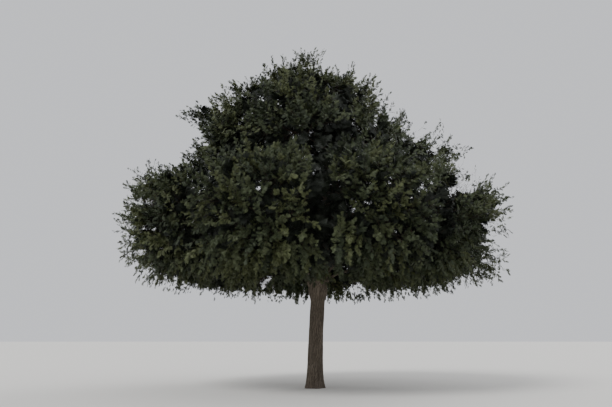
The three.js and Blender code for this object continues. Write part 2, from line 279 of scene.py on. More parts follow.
# Foliage
GOLDEN_ANGLE = math.pi * (3 - math.sqrt(5))
WALL_GAP = 0.02  # between neighbouring masses, whose leaves close the seam
MARCH_STEP = 0.05
MARCH_STEPS = 150
DIRECTIONS = 1500  # in which a mass looks for the crown's outside
LOBE_DIRECTIONS = 160
LOBE_SKIN = 0.97  # share of a lobe's radius at which its places lie
FULL_LOBE = 0.6  # radius under which a lobe is less hollow
CLEAR_OUT = 1.04  # a lobe's place is at the outside if it is clear this much further from the mass
SPINE_DROP = 0.6  # the crown faces away from places this much lower than its outside,
SPINE_HEIGHTS = (4.4, 9.2)  # but no lower and no higher than these
TUFT_RADIUS = 0.6  # share of the tufts' spacing
WIDEST_HOLLOW = 1.3  # in tuft radii, past which a hollow gets no deeper
HOLLOW_SHARE = 0.6  # share of the tuft depth by which the foliage stands back between tufts
BACK_SHARE = 0.5  # share of it by which the hindmost tufts stand back
FRINGE_FILL = 0.6  # share of both that is filled at the browse line
TIP_INSET = 0.17  # shoots end this far inside the outline, which their whips reach
INNER_DEPTHS = (0.3, 0.5, 0.7, 0.88)  # shares of the way to the outside where leaves fill the mass
INNER_RADIUS = 0.8  # what lies nearer than this to a mass's middle isn't repeated inside it
WALL_DEPTH = 0.9  # share of the way to a neighbour's wall where leaves fill the mass
SHADE_DEPTH = 0.6  # inner shoots stay this far inside the crown's outside
SHADE_TONE = 2.0  # tone of inner shoots, while those of the tufts run from 0 to 1
FINEST_FORK = 3  # most shoots that leave one twig
SHOOT_STEPS = 2.4  # the last shoot is this many ordinary steps long
BRANCH_TAPER = 0.82  # share of its radius that a branch keeps at its fork
CURVE_PULL = 0.35  # share of its length over which a branch or shoot keeps its first direction
LIMB_CLEARANCE = 0.03  # between a leaf and a trunk or bough
HANGING_HEIGHT = 4.5  # shoots at the crown's side start to hang below this height
HANGING_MARGIN = 0.4  # shoots hang fully from this far over the browse line downwards
SHOOT_WANDER = 0.3  # the random share of the direction in which a shoot ends
SIDE_TWIGS = (0.28, 0.44, 0.6, 0.75)  # places along a shoot
TWIG_LENGTHS = (0.14, 0.3)  # of side twigs, before they are shortened towards the shoot's tip
WHIP_FEET = (1.0, 0.62)  # places along a shoot where a whip leaves it
WHIP_SHARE = 0.42  # of those places have one
WHIP_LENGTHS = (0.20, 0.46)
WHIP_WANDER = 0.25  # the random share of its direction
WHIP_MARGIN = 0.22  # a whip ends at most this far outside the solids' box
# Leaves along a shoot, a side twig and a whip: the place of each and its size
SHOOT_LEAVES = ((0.3, 0.9), (0.45, 1.0), (0.6, 1.0), (0.75, 0.95), (0.88, 0.85), (1.0, 0.75))
SIDE_LEAVES = ((0.4, 0.9), (0.7, 0.95), (1.0, 0.85))
WHIP_LEAVES = [(0.05 + 0.095 * i, 0.98 - 0.035 * i) for i in range(11)]
LEAF_SCALES = (0.8, 1.15)  # smallest and largest share of the size that its place gives a leaf
LEAF_REACH = 0.15  # from a leaf's root to the point of it that may hide a gap
LEAF_TILT = 0.45  # the random share of the way a leaf faces
LEAF_DROOP = 0.16  # share of a leaf's length by which its tip hangs
LEAF_UNEVENNESS = 0.1  # share by which a leaf's corners miss their places
LEAF_PAIRS = 4  # of leaflets
# Tints are dealt out half at random and half as painted shade: leaves on tufts that stand back get the
# darker tints, and those on tufts that stand out get the lighter ones
TINTS = 4  # of leaves, dealt out by shoot
SHADE_SHARE = 0.68  # of the leaves in the shade are drawn, as larger sprays
# Branches by radius: over the first and up to the second, with the sides and sections of each
BRANCH_MESHES = ((0.022, 1.0, 7, 3), (0.012, 0.022, 5, 3), (0.0, 0.012, 3, 2))
# Radii along a shoot, a side twig and a whip, as shares of a shoot's radius at its foot
TWIG_TAPERS = ((1, 0.75, 0.5, 0), (0.5, 0), (0.45, 0.35, 0))

# The camera: where it stands, how far it looks up in degrees, and its lens and sensor in millimetres.
# What it sees is laid out on the upright plane through the foot.
EYE = np.array([-0.282, -20.35, 1.5])
EYE_RISE = 13.01
LENS = 35
SENSOR = 36

# Gaps through which the sky shows, on that plane: across, height, half the width, half the height and
# the share of the foliage that is missing there. First come those of the right edge and the left one,
# then those over the browse line, and then chinks inside the crown.
SKY_GAPS = [
    (3.28, 8.98, 0.12, 0.12, 0.8),
    (3.80, 9.05, 0.30, 0.12, 0.85),
    (3.45, 8.92, 0.18, 0.14, 0.85),
    (3.72, 8.70, 0.22, 0.22, 0.85),
    (4.28, 8.14, 0.16, 0.14, 0.95),
    (5.34, 7.60, 0.28, 0.16, 0.95),
    (5.46, 7.38, 0.22, 0.12, 0.95),
    (5.34, 6.76, 0.42, 0.22, 0.95),
    (4.86, 6.64, 0.26, 0.19, 0.97),
    (5.70, 7.00, 0.16, 0.10, 0.90),
    (4.84, 7.42, 0.06, 0.07, 1.0),
    (5.02, 7.22, 0.15, 0.15, 0.85),
    (5.28, 6.60, 0.26, 0.10, 0.95),
    (5.16, 7.02, 0.18, 0.12, 0.9),
    (4.75, 6.28, 0.10, 0.05, 1.0),
    (6.18, 5.50, 0.42, 0.09, 0.97),
    (5.90, 5.42, 0.08, 0.10, 1.0),
    (6.09, 5.05, 0.05, 0.12, 1.0),
    (5.65, 5.72, 0.22, 0.06, 0.9),
    (5.90, 4.78, 0.10, 0.07, 1.0),
    (5.67, 4.80, 0.06, 0.05, 1.0),
    (5.82, 4.15, 0.12, 0.04, 1.0),
    (6.10, 4.75, 0.28, 0.55, 0.22),
    (6.12, 5.34, 0.16, 0.10, 0.9),
    (-6.00, 6.27, 0.42, 0.11, 0.88),
    (-5.75, 5.34, 0.32, 0.08, 0.9),
    (-5.95, 4.48, 0.26, 0.10, 0.8),
    (-3.88, 8.45, 0.10, 0.20, 0.7),
    (-4.02, 9.86, 0.20, 0.08, 0.85),
    (-2.12, 10.82, 0.16, 0.10, 0.7),
    (-3.42, 9.72, 0.10, 0.08, 1.0),
    (-2.60, 2.97, 1.60, 0.12, 0.65),
    (-3.90, 3.08, 0.90, 0.10, 0.7),
    (-5.00, 3.40, 0.22, 0.10, 0.8),
    (6.10, 3.42, 0.36, 0.10, 0.6),
    (-1.75, 3.42, 0.14, 0.22, 0.98),
    (-1.52, 3.60, 0.18, 0.10, 0.97),
    (-1.22, 3.78, 0.08, 0.09, 1.0),
    (-0.43, 3.94, 0.05, 0.06, 1.0),
    (-0.40, 3.40, 0.12, 0.07, 0.9),
    (0.95, 3.98, 0.14, 0.06, 1.0),
    (1.13, 3.86, 0.07, 0.15, 1.0),
    (1.42, 3.26, 0.24, 0.20, 0.93),
    (1.66, 3.18, 0.10, 0.12, 0.85),
    (-1.94, 6.80, 0.10, 0.10, 1.0),
    (-1.37, 6.36, 0.10, 0.08, 1.0),
    (0.39, 6.47, 0.10, 0.08, 1.0),
    (0.92, 6.93, 0.09, 0.14, 1.0),
    (1.95, 6.93, 0.14, 0.05, 1.0),
    (1.86, 6.22, 0.16, 0.10, 1.0),
    (2.85, 5.08, 0.11, 0.28, 0.96),
    (4.70, 6.28, 0.10, 0.06, 1.0),
]
SLIT_SPACING = 0.26  # between the slits of light in the fringe that hangs over the browse line
SLIT_WIDTHS = (0.04, 0.08)
SLIT_HEIGHTS = (0.25, 0.65)
# Where the fringe ends below, on that plane: how far from the foot's upright, and the height.
FRINGE_FOOT = np.array([(0.0, 2.95), (3.5, 3.00), (5.0, 3.30), (6.1, 3.90)])

# Stage
FLOOR_RADIUS = 1500
AIR_COLOUR = "#eff1f6"
AIR_STRENGTH = 0.9
# Lamps as far off as the sun: name, strength, and in degrees the width of the disc and its turn
LAMPS = (
    ("key light", 2.2, 24, (48, 0, -38)),
    ("rim light", 1.0, 40, (60, 0, 140)),
)


def linear(hex_colour):
    """A colour's three linear values, from its sRGB hex."""
    parts = [int(hex_colour[i : i + 2], 16) / 255 for i in (1, 3, 5)]
    return tuple(p / 12.92 if p <= 0.04045 else ((p + 0.055) / 1.055) ** 2.4 for p in parts)


def seeded(seed):
    """The solids' own stream of numbers from 0 to 1."""
    state = seed

    def imul(a, b):
        return (a * b) & 0xFFFFFFFF

    def draw():
        nonlocal state
        state = (state + 0x6D2B79F5) & 0xFFFFFFFF
        mixed = imul(state ^ (state >> 15), 1 | state)
        mixed = ((mixed + imul(mixed ^ (mixed >> 7), 61 | mixed)) & 0xFFFFFFFF) ^ mixed
        return (mixed ^ (mixed >> 14)) / 4294967296

    return draw


def unit(vectors):
    """Vectors brought to length one, along the last axis."""
    lengths = np.linalg.norm(vectors, axis=-1, keepdims=True)
    return vectors / np.maximum(lengths, 1e-9)


def at_azimuth(radius, azimuth, height):
    """The point this far from the foot's upright, at an azimuth and a height."""
    return np.array([radius * math.cos(azimuth), radius * math.sin(azimuth), height])


def rising_at(rise, azimuth):
    """The direction that rises at an angle, in degrees, towards an azimuth."""
    return at_azimuth(math.cos(math.radians(rise)), azimuth, math.sin(math.radians(rise)))


def reach(height, azimuth, outline=OUTLINE):
    """How far the crown reaches from the foot's upright at a height, in one direction."""
    left = np.interp(height, outline[:, 0], outline[:, 1])
    right = np.interp(height, outline[:, 0], outline[:, 2])
    return left + (right - left) * (0.5 + 0.5 * np.cos(azimuth))


@lru_cache(maxsize=1)
def lobe_balls():
    """Centre and radius of every ball that the lobes are made of."""
    balls = []
    for across, height, radius in LOBES:
        for turn in np.radians(LOBE_TURNS):
            back = max(abs(across) * math.sin(turn), LOBE_STEP * turn)
            balls.append((np.array([across * math.cos(turn), back, height]), radius))
    return balls


def inside_crown(points):
    """Whether points lie inside the leaves' outline or one of its lobes."""
    x, y, z = points[..., 0], points[..., 1], points[..., 2]
    inside = np.hypot(x, y) <= reach(z, np.arctan2(y, x), LEAF_OUTLINE)
    for centre, radius in lobe_balls():
        inside |= (x - centre[0]) ** 2 + (y - centre[1]) ** 2 + (z - centre[2]) ** 2 <= radius**2
    return inside & (z >= BROWSE_LINE) & (z <= TREE_HEIGHT)


@dataclass
class Mass:
    """One mass of foliage: where it stands, and where and which way its bough enters it."""

    name: str
    tier: Tier
    centre: np.ndarray
    arrival: np.ndarray
    entry: np.ndarray


@dataclass
class Limb:
    """A trunk or bough: its curve's four points, its radius at a share of its length, the end of the
    straight stem that runs on into its mass, and the limb that carries it."""

    name: str
    curve: np.ndarray
    radius_at: object
    stem: np.ndarray = None
    carrier: object = field(default=None, repr=False)
    points: np.ndarray = field(default=None, repr=False)
    radii: np.ndarray = field(default=None, repr=False)


@lru_cache(maxsize=1)
def lay_out_masses():
    """The masses of all tiers, where the solids have them."""
    draw = seeded(SEED)
    masses = []
    for tier in TIERS:
        for i in range(tier.count):
            turn = tier.azimuth + 360 / tier.count * i + AZIMUTH_JITTER * (2 * draw() - 1)
            height = tier.height + HEIGHT_JITTER * (2 * draw() - 1)
            azimuth = math.radians(turn)
            centre = at_azimuth(tier.share * reach(height, azimuth), azimuth, height)
            arrival = rising_at(tier.arrive, azimuth)
            entry = centre - arrival * tier.stem
            masses.append(Mass(f"{tier.name}_{i + 1}", tier, centre, arrival, entry))
    return masses


def cubic(t, a, b, c, d):
    """The cubic curve of four control points, at its parameter."""
    return (1 - t) ** 3 * a + 3 * (1 - t) ** 2 * t * b + 3 * (1 - t) * t**2 * c + t**3 * d


def bezier(curve, share):
    """Points of one cubic curve at shares of its parameter."""
    return cubic(np.atleast_1d(np.asarray(share, float))[:, None], *curve)


def trunk_radius(share, angle):
    """The trunk's flare with its root ridges, its swelling under the fork and its round top."""
    height = share * FORK_HEIGHT
    flare = FLARE_SHARE * np.exp(-height / FLARE_HEIGHT)
    ridges = 1 + RIDGE_SHARE * np.cos(ROOT_RIDGES * angle)
    rise = np.clip((share - 0.6) / (0.4 - DOME_SHARE), 0, 1)
    swell = FORK_SWELL * rise * rise * (3 - 2 * rise)
    over_dome = np.maximum(0, (share - 1 + DOME_SHARE) / DOME_SHARE)
    outline = 1 - TRUNK_TAPER * share + flare * ridges + swell
    return TRUNK_RADIUS * outline * np.sqrt(1 - 0.96 * over_dome**2)


def make_bough(name, mass, carrier, start):
    """A bough that leaves its carrier towards the mass and comes to it in its entering direction."""
    root = bezier(carrier.curve, start)[0]
    towards = mass.entry - root
    leaving = rising_at(mass.tier.leave, math.atan2(towards[1], towards[0]))
    pull = BOUGH_PULL * np.linalg.norm(towards)
    curve = np.array([root, root + leaving * pull, mass.entry - mass.arrival * pull, mass.entry])
    foot = mass.tier.foot

    def radius_at(share, _angle):
        return foot + (BOUGH_TIP_RADIUS - foot) * share**0.8

    return Limb(name, curve, radius_at, mass.entry + mass.arrival * STEM_LENGTH, carrier)


@lru_cache(maxsize=1)
def lay_out_limbs():
    """The trunk, the leaders that carry the top masses, and then every other bough."""
    masses = lay_out_masses()
    foot = [0, 0, -FOOT_LENGTH]
    low = [0, 0, 0.33 * FORK_HEIGHT]
    high = [0.8 * FORK_OFFSET, 0, 0.67 * FORK_HEIGHT]
    fork = [FORK_OFFSET, 0, FORK_HEIGHT]
    trunk = Limb("trunk", np.array([foot, low, high, fork]), trunk_radius)
    skirt, lower, middle, top = ([m for m in masses if m.tier is tier] for tier in TIERS)
    leaders = [make_bough(f"leader_{i + 1}", m, trunk, m.tier.start) for i, m in enumerate(top)]

    def from_leaders(tier_masses):
        boughs = []
        each = len(tier_masses) // len(leaders)
        for i, mass in enumerate(tier_masses):
            start = mass.tier.start + START_STEP * (i % each)
            name = f"{mass.tier.name}_bough_{i + 1}"
            boughs.append(make_bough(name, mass, leaders[i // each], start))
        return boughs

    hanging = [make_bough(f"skirt_bough_{i + 1}", m, trunk, m.tier.start) for i, m in enumerate(skirt)]
    limbs = [trunk, *leaders, *from_leaders(middle), *from_leaders(lower), *hanging]
    for limb in limbs:
        limb.points, limb.radii = centre_line(limb, CENTRE_STEP)
    return limbs


def centre_line(limb, step):
    """Evenly spaced points along a limb, its straight stem included, with the radius at each."""
    raw = bezier(limb.curve, np.linspace(0, 1, 600))
    run = np.concatenate([[0], np.cumsum(np.linalg.norm(np.diff(raw, axis=0), axis=1))])
    curved = run[-1]
    if limb.stem is not None:
        raw = np.vstack([raw, limb.stem])
        run = np.append(run, curved + np.linalg.norm(limb.stem - raw[-2]))
    count = int(math.ceil(run[-1] / step)) + 1
    places = np.linspace(0, run[-1], count)
    points = np.stack([np.interp(places, run, raw[:, k]) for k in range(3)], axis=1)
    shares = np.minimum(places / curved, 1)
    return points, limb.radius_at(shares, 0.0)


def in_own_space(index, points):
    """Whether points lie in a mass's own space: ahead of its bough and nearer to it than to others."""
    masses = lay_out_masses()
    mass = masses[index]
    own = (points - mass.entry) @ mass.arrival >= WALL_GAP
    for other in masses:
        if other is mass:
            continue
        across = unit(other.centre - mass.centre)
        middle = (mass.centre + other.centre) / 2
        own &= (points - middle) @ across < -WALL_GAP
    return own


def spread_directions(count):
    """Directions spread evenly over a sphere, along a spiral."""
    i = np.arange(count)
    z = 1 - (2 * i + 1) / count
    radius = np.sqrt(1 - z * z)
    return np.stack([radius * np.cos(GOLDEN_ANGLE * i), radius * np.sin(GOLDEN_ANGLE * i), z], axis=1)


def edge_of_space(index, directions):
    """How far a mass's space reaches in each direction, and whether it ends at the crown's outside."""
    centre = lay_out_masses()[index].centre
    distances = np.arange(1, MARCH_STEPS) * MARCH_STEP
    points = centre + directions[:, None, :] * distances[None, :, None]
    own = in_own_space(index, points)
    stopped = ~(own & inside_crown(points))
    first = np.argmax(stopped, axis=1)
    outside = own[np.arange(len(directions)), first]
    return distances[first] - MARCH_STEP, outside


def thinned(points, spacing, order):
    """Indices of points that keep a spacing from each other, chosen in the given order."""
    kept, cells = [], {}
    for i in order:
        x, y, z = points[i]
        cell = (int(x // spacing), int(y // spacing), int(z // spacing))
        near = (
            cells.get((cell[0] + a, cell[1] + b, cell[2] + c), ())
            for a in (-1, 0, 1)
            for b in (-1, 0, 1)
            for c in (-1, 0, 1)
        )
        if any(
            (x - p[0]) ** 2 + (y - p[1]) ** 2 + (z - p[2]) ** 2 < spacing**2
            for group in near
            for p in group
        ):
            continue
        cells.setdefault(cell, []).append((x, y, z))
        kept.append(i)
    return np.array(kept, int)


def crown_outward(points):
    """The direction in which the crown faces at points of its outside: away from the places half as far
    from the foot's upright and a little lower."""
    spine = points * [0.5, 0.5, 0]
    spine[:, 2] = np.clip(points[:, 2] - SPINE_DROP, *SPINE_HEIGHTS)
    return unit(points - spine)


class Branch(NamedTuple):
    """One stretch of a branch: its two ends, its direction at each, and its radius."""

    start: np.ndarray
    heading: np.ndarray
    end: np.ndarray
    onward: np.ndarray
    radius: float


class Shoot(NamedTuple):
    """A shoot: its foot, its direction there, its tip and the tone of its tuft."""

    start: np.ndarray
    heading: np.ndarray
    tip: np.ndarray
    tone: float


@dataclass
class Growth:
    """The crown's branches and shoots."""

    branches: list = field(default_factory=list)
    shoots: list = field(default_factory=list)


def gathered(things, name):
    """The value of one name in each of the things, as an array."""
    return np.array([getattr(thing, name) for thing in things])


def part_tips(tips, middle):
    """Parts tips into two halves, across the line on which they lie furthest apart."""
    one_end = tips[np.argmax(np.linalg.norm(tips - middle, axis=1))]
    other_end = tips[np.argmax(np.linalg.norm(tips - one_end, axis=1))]
    order = np.argsort(tips @ (other_end - one_end), kind="stable")
    half = (len(tips) + 1) // 2
    return order[:half], order[half:]


def branch_out(growth, root, heading, tips, tones, sizes):
    """Grows branches from a root to a set of tips. A branch runs part of the way to the middle of its
    tips and forks in two, until a twig serves few enough tips to end in shoots."""
    middle = tips.mean(axis=0)
    if len(tips) <= FINEST_FORK:
        growth.shoots.extend(Shoot(root, heading, tip, tone) for tip, tone in zip(tips, tones))
        return
    steps_left = math.log2(len(tips) / FINEST_FORK)
    fork = root + (middle - root) / (steps_left + SHOOT_STEPS)
    radius = sizes.shoot_radius * len(tips) ** sizes.thickening
    onward = unit(0.5 * unit(middle - root) + 0.5 * heading)
    growth.branches.append(Branch(root, heading, fork, onward, radius))
    for half in part_tips(tips, middle):
        branch_out(growth, fork, onward, tips[half], tones[half], sizes)


@dataclass(frozen=True)
class CrownSizes:
    """The sizes on which the crown's growth depends."""

    tuft_spacing: float
    tuft_depth: float
    shoot_spacing: float
    inner_spacing: float
    shoot_radius: float
    thickening: float


def outer_places():
    """Places on the crown's outside, with the mass that each belongs to, the way out to it, and the
    share of a tuft's depth by which its shoots stand back."""
    around = LOBE_SKIN * spread_directions(LOBE_DIRECTIONS)
    ball_places = np.vstack([centre + radius * around for centre, radius in lobe_balls()])
    ball_depths = np.repeat([min(1, radius / FULL_LOBE) for _, radius in lobe_balls()], LOBE_DIRECTIONS)
    places, owners, ways, depths = [], [], [], []
    for index, mass in enumerate(lay_out_masses()):
        directions = spread_directions(DIRECTIONS)
        distances, outside = edge_of_space(index, directions)
        places.append(mass.centre + directions[outside] * distances[outside, None])
        ways.append(directions[outside])
        further_out = mass.centre + (ball_places - mass.centre) * CLEAR_OUT
        free = in_own_space(index, ball_places) & ~inside_crown(further_out)
        free &= ball_places[:, 2] > BROWSE_LINE
        places.append(ball_places[free])
        ways.append(unit(ball_places[free] - mass.centre))
        owners.append(np.full(outside.sum() + free.sum(), index))
        depths.extend([np.ones(outside.sum()), ball_depths[free]])
    return np.vstack(places), np.concatenate(owners), np.vstack(ways), np.concatenate(depths)


def tree_of(points):
    """Points in a tree that finds the nearest of them."""
    tree = KDTree(len(points))
    for i, point in enumerate(points):
        tree.insert(point, i)
    tree.balance()
    return tree


def nearest_in(tree, points):
    """Index of the nearest point in a tree, and how far it is, for each of the points."""
    found = [tree.find(point) for point in points]
    return np.array([hit[1] for hit in found]), np.array([hit[2] for hit in found])


def named_crests(places):
    """Indices of the places nearest to the tufts that the outline shows."""
    return [int(np.argmin(((places - [across, 0, height]) ** 2).sum(axis=1))) for across, height in CRESTS]


def outer_tips(sizes, rng):
    """Tips on the crown's outside, which is gathered into rounded tufts, with each tip's mass and tone.
    A tone runs from 0, on a tuft that stands out, to 1 on one that stands back. The named tufts stand
    right out, whatever their tone."""
    places, owners, ways, depths = outer_places()
    named = named_crests(places)
    crests = thinned(places, sizes.tuft_spacing, [*named, *rng.permutation(len(places))])
    # A tuft's tone sets how far it stands back, and also how dark its leaves are painted, as painted shade
    tone = rng.uniform(0, 1, len(crests))
    standing_back = np.where(np.isin(crests, named), 0, tone)
    crest, away = nearest_in(tree_of(places[crests]), places)
    hollow = np.minimum(away / (TUFT_RADIUS * sizes.tuft_spacing), WIDEST_HOLLOW) ** 2
    dent = TIP_INSET + sizes.tuft_depth * (HOLLOW_SHARE * hollow + BACK_SHARE * standing_back[crest])
    dent *= depths * (1 - FRINGE_FILL * hanging(places))
    tips = places - ways * dent[:, None]
    chosen = thinned(tips, sizes.shoot_spacing, rng.permutation(len(tips)))
    return tips[chosen], owners[chosen], tone[crest][chosen]


def inner_tips(index, outer, sizes, rng):
    """Tips inside a mass: under its outside, and along the walls where it meets its neighbours."""
    centre = lay_out_masses()[index].centre
    far = outer[np.linalg.norm(outer - centre, axis=1) > INNER_RADIUS]
    layers = [centre + (far - centre) * depth for depth in INNER_DEPTHS]
    directions = spread_directions(DIRECTIONS // 3)
    distances, outside = edge_of_space(index, directions)
    layers.append(centre + directions[~outside] * (WALL_DEPTH * distances[~outside, None]))
    tips = np.vstack(layers)
    tips = tips[inside_crown(tips + crown_outward(tips) * SHADE_DEPTH)]
    return tips[thinned(tips, sizes.inner_spacing, rng.permutation(len(tips)))]


@lru_cache(maxsize=1)
def grow_crown(sizes):
    """The whole crown's branches and shoots."""
    rng = np.random.default_rng(GROWTH_SEED)
    tips, owners, tones = outer_tips(sizes, rng)
    growth = Growth()
    for index, mass in enumerate(lay_out_masses()):
        outer = tips[owners == index]
        inner = inner_tips(index, outer, sizes, rng)
        every = np.vstack([outer, inner])
        every_tone = np.concatenate([tones[owners == index], np.full(len(inner), SHADE_TONE)])
        stem_end = mass.entry + mass.arrival * STEM_LENGTH
        branch_out(growth, stem_end, mass.arrival, every, every_tone, sizes)
    return growth


def near_limbs(points, clearance):
    """Whether points lie within a clearance of the trunk or a bough."""
    limbs = lay_out_limbs()
    radii = np.concatenate([limb.radii for limb in limbs])
    nearest, away = nearest_in(tree_of(np.vstack([limb.points for limb in limbs])), points)
    return away < radii[nearest] + clearance


@lru_cache(maxsize=1)
def fringe_slits():
    """Upright slits between the hanging sprays over the browse line, written as the gaps are."""
    rng = np.random.default_rng(SEED + 7)
    widest = FRINGE_FOOT[-1, 0]
    across = np.arange(-widest, widest, SLIT_SPACING)
    across = across + rng.uniform(-0.4, 0.4, len(across)) * SLIT_SPACING
    half_width = rng.uniform(*SLIT_WIDTHS, len(across)) / 2
    half_height = rng.uniform(*SLIT_HEIGHTS, len(across)) / 2
    height = np.interp(np.abs(across), *FRINGE_FOOT.T) + half_height
    return np.stack([across, height, half_width, half_height, np.ones(len(across))], axis=1)


def in_sky_gap(points, luck):
    """Whether points hide a gap through which the camera sees the sky. Luck, from 0 to 1, decides for
    each point in a gap that is only thinned."""
    line = points - EYE
    on_plane = EYE + line * (-EYE[1] / line[:, 1])[:, None]
    hidden = np.zeros(len(points), bool)
    for across, height, half_width, half_height, missing in [*SKY_GAPS, *fringe_slits()]:
        away = ((on_plane[:, 0] - across) / half_width) ** 2 + ((on_plane[:, 2] - height) / half_height) ** 2
        hidden |= (away < 1) & (luck < missing)
    return hidden


def across_of(directions, rng):
    """A direction square to each of the given ones, turned at random."""
    random = unit(rng.normal(size=directions.shape))
    return unit(np.cross(directions, random))


def curved_paths(starts, headings, ends, arrivals, sections):
    """Points along smooth curves that leave and arrive in given directions."""
    pull = np.linalg.norm(ends - starts, axis=1, keepdims=True) * CURVE_PULL
    controls = [starts, starts + headings * pull, ends - arrivals * pull, ends]
    t = np.linspace(0, 1, sections + 1)[None, :, None]
    return cubic(t, *(control[:, None, :] for control in controls))


def path_tangents(paths):
    """The direction of each path at each of its points."""
    tangents = np.empty_like(paths)
    tangents[:, 1:-1] = paths[:, 2:] - paths[:, :-2]
    tangents[:, 0] = paths[:, 1] - paths[:, 0]
    tangents[:, -1] = paths[:, -1] - paths[:, -2]
    return unit(tangents)


@dataclass
class Shape:
    """A mesh in the making: its corners and its faces, in groups of one number of corners each."""

    corners: list = field(default_factory=list)
    faces: list = field(default_factory=list)
    count: int = 0

    def add(self, corners, *face_groups):
        """Adds corners, and groups of faces that number them from 0."""
        for faces in face_groups:
            self.faces.append(np.asarray(faces) + self.count)
        self.corners.append(corners.reshape(-1, 3))
        self.count += corners.size // 3


def add_rods(shape, paths, radii, sides):
    """Adds a closed, pointed rod along each path, with its last point as its tip."""
    tangents = path_tangents(paths)
    helper = np.where(np.abs(tangents[:, :1, 2:]) < 0.9, [0.0, 0.0, 1.0], [1.0, 0.0, 0.0])
    side = unit(np.cross(tangents, helper))
    other = np.cross(tangents, side)
    angles = np.arange(sides) * 2 * math.pi / sides
    ring = (
        side[:, :-1, None, :] * np.cos(angles)[None, None, :, None]
        + other[:, :-1, None, :] * np.sin(angles)[None, None, :, None]
    )
    rings = paths[:, :-1, None, :] + ring * radii[:, :-1, None, None]
    count, levels = rings.shape[:2]
    corners = np.concatenate([rings.reshape(count, -1, 3), paths[:, -1:, :]], axis=1)
    each = levels * sides + 1
    k = np.arange(sides)
    after = (k + 1) % sides
    walls = [
        np.stack([k + sides * i, after + sides * i, after + sides * (i + 1), k + sides * (i + 1)], axis=1)
        for i in range(levels - 1)
    ]
    last = sides * (levels - 1)
    tips = np.stack([k + last, after + last, np.full(sides, each - 1)], axis=1)
    base = np.arange(count)[:, None, None] * each
    groups = [(tips[None] + base).reshape(-1, 3), (k[::-1][None, None] + base).reshape(-1, sides)]
    if walls:
        groups.append((np.vstack(walls)[None] + base).reshape(-1, 4))
    shape.add(corners, *groups)


def finished_mesh(name, shape, material, smooth=False):
    """A piece from a shape's corners and faces, riding with the tree."""
    corners = np.vstack(shape.corners)
    loops = np.concatenate([faces.ravel() for faces in shape.faces])
    starts, run = [], 0
    for faces in shape.faces:
        starts.append(run + np.arange(len(faces)) * faces.shape[1])
        run += faces.size
    starts = np.concatenate(starts)
    mesh = bpy.data.meshes.new(name)
    mesh.vertices.add(len(corners))
    mesh.vertices.foreach_set("co", corners.astype(np.float32).ravel())
    mesh.loops.add(len(loops))
    mesh.loops.foreach_set("vertex_index", loops.astype(np.int32))
    mesh.polygons.add(len(starts))
    mesh.polygons.foreach_set("loop_start", starts.astype(np.int32))
    mesh.update(calc_edges=True)
    if mesh.validate():
        raise RuntimeError(f"{name} has faces that don't hold together")
    if smooth:
        mesh.shade_smooth()
    mesh.materials.append(material)
    piece = bpy.data.objects.new(name, mesh)
    bpy.context.collection.objects.link(piece)
    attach(piece, "root")
    return piece


# Bark


def ripple(angle, along, rng, waves, longest, strength):
    """A smooth random swell over a limb's side that closes round it."""
    total = np.zeros(np.broadcast(angle, along).shape)
    for i in range(waves):
        turns = rng.integers(0, 4)
        length = longest / (1 + i * 0.7)
        total += np.sin(turns * angle + 2 * math.pi * along / length + rng.uniform(0, 6.28)) / (1 + i * 0.5)
    return strength * total / waves**0.5


def bark_plates(angle, along, around, length, rng):
    """Bark split into long plates, from 0 at the bottom of a furrow to 1 on a plate. The plates are the
    places nearest to each of a grid of scattered centres, so many around the limb and so long. Borders
    that run along the limb are deep furrows, and those across it are fine cracks."""
    turn = around * angle / (2 * math.pi) + ripple(angle, along, rng, 5, 1.3, 0.6)
    rise = along / length + ripple(angle, along, rng, 5, 0.9, 0.3)
    rows = int(np.ceil(np.ptp(rise))) + 3
    across, up = rng.uniform(0.05, 0.95, (2, rows, around))
    thickness = rng.uniform(0.7, 1.0, (rows, around))
    shift = rng.uniform(0, 1, around)
    offsets = []
    for column_step in (-1, 0, 1):
        column = (np.floor(turn) + column_step).astype(int)
        place = rise + shift[column % around]
        for row_step in (-1, 0, 1):
            row = (np.floor(place) + row_step).astype(int)
            pick = row % rows, column % around
            offsets.append((column + across[pick] - turn, row + up[pick] - place, thickness[pick]))
    sideways, upward, level = (np.stack(values) for values in zip(*offsets))
    away = np.hypot(sideways, upward)
    order = np.argsort(away, axis=0)[:2]
    near, far = np.take_along_axis(away, order, axis=0)
    beside = np.abs(np.diff(np.take_along_axis(sideways, order, axis=0), axis=0)[0])
    above = np.abs(np.diff(np.take_along_axis(upward, order, axis=0), axis=0)[0])
    lengthwise = beside / np.hypot(beside, above)
    edge = np.clip((far - near) / (FURROW_SHARE * (0.35 + 0.65 * lengthwise)), 0, 1)
    depth = 0.3 + 0.7 * lengthwise**2
    return np.take_along_axis(level, order[:1], axis=0)[0] * (1 - depth * (1 - edge) ** 2)


def side_distance(limb, points, joint):
    """How far points near a joint lie outside a limb's side, below zero inside it."""
    near = np.linalg.norm(limb.points - joint, axis=1) < 2 * JOINT_REACH
    line, radii = limb.points[near], limb.radii[near]
    steps = np.diff(line, axis=0)
    offset = points[:, None] - line[:-1]
    share = np.clip((offset * steps).sum(axis=2) / (steps**2).sum(axis=1), 0, 1)
    away = np.linalg.norm(offset - share[..., None] * steps, axis=2)
    return (away - radii[:-1] - share * np.diff(radii)).min(axis=1)


def swell_at_joints(corners, outward, limb):
    """Moves a limb's corners out where it leaves its carrier and where its own boughs leave it, so that
    both sides rise to each other in a collar."""
    for other in lay_out_limbs():
        if other.carrier is not limb and limb.carrier is not other:
            continue
        bough = other if other.carrier is limb else limb
        joint, blend = bough.curve[0], COLLAR_SHARE * bough.radii[0]
        near = np.linalg.norm(corners - joint, axis=-1) < JOINT_REACH
        if near.any():
            gap = side_distance(other, corners[near], joint)
            rise = np.maximum(0, 1 - np.abs(gap) / blend)
            corners[near] += outward[near] * (rise**2 * blend / 4)[:, None]
    return corners


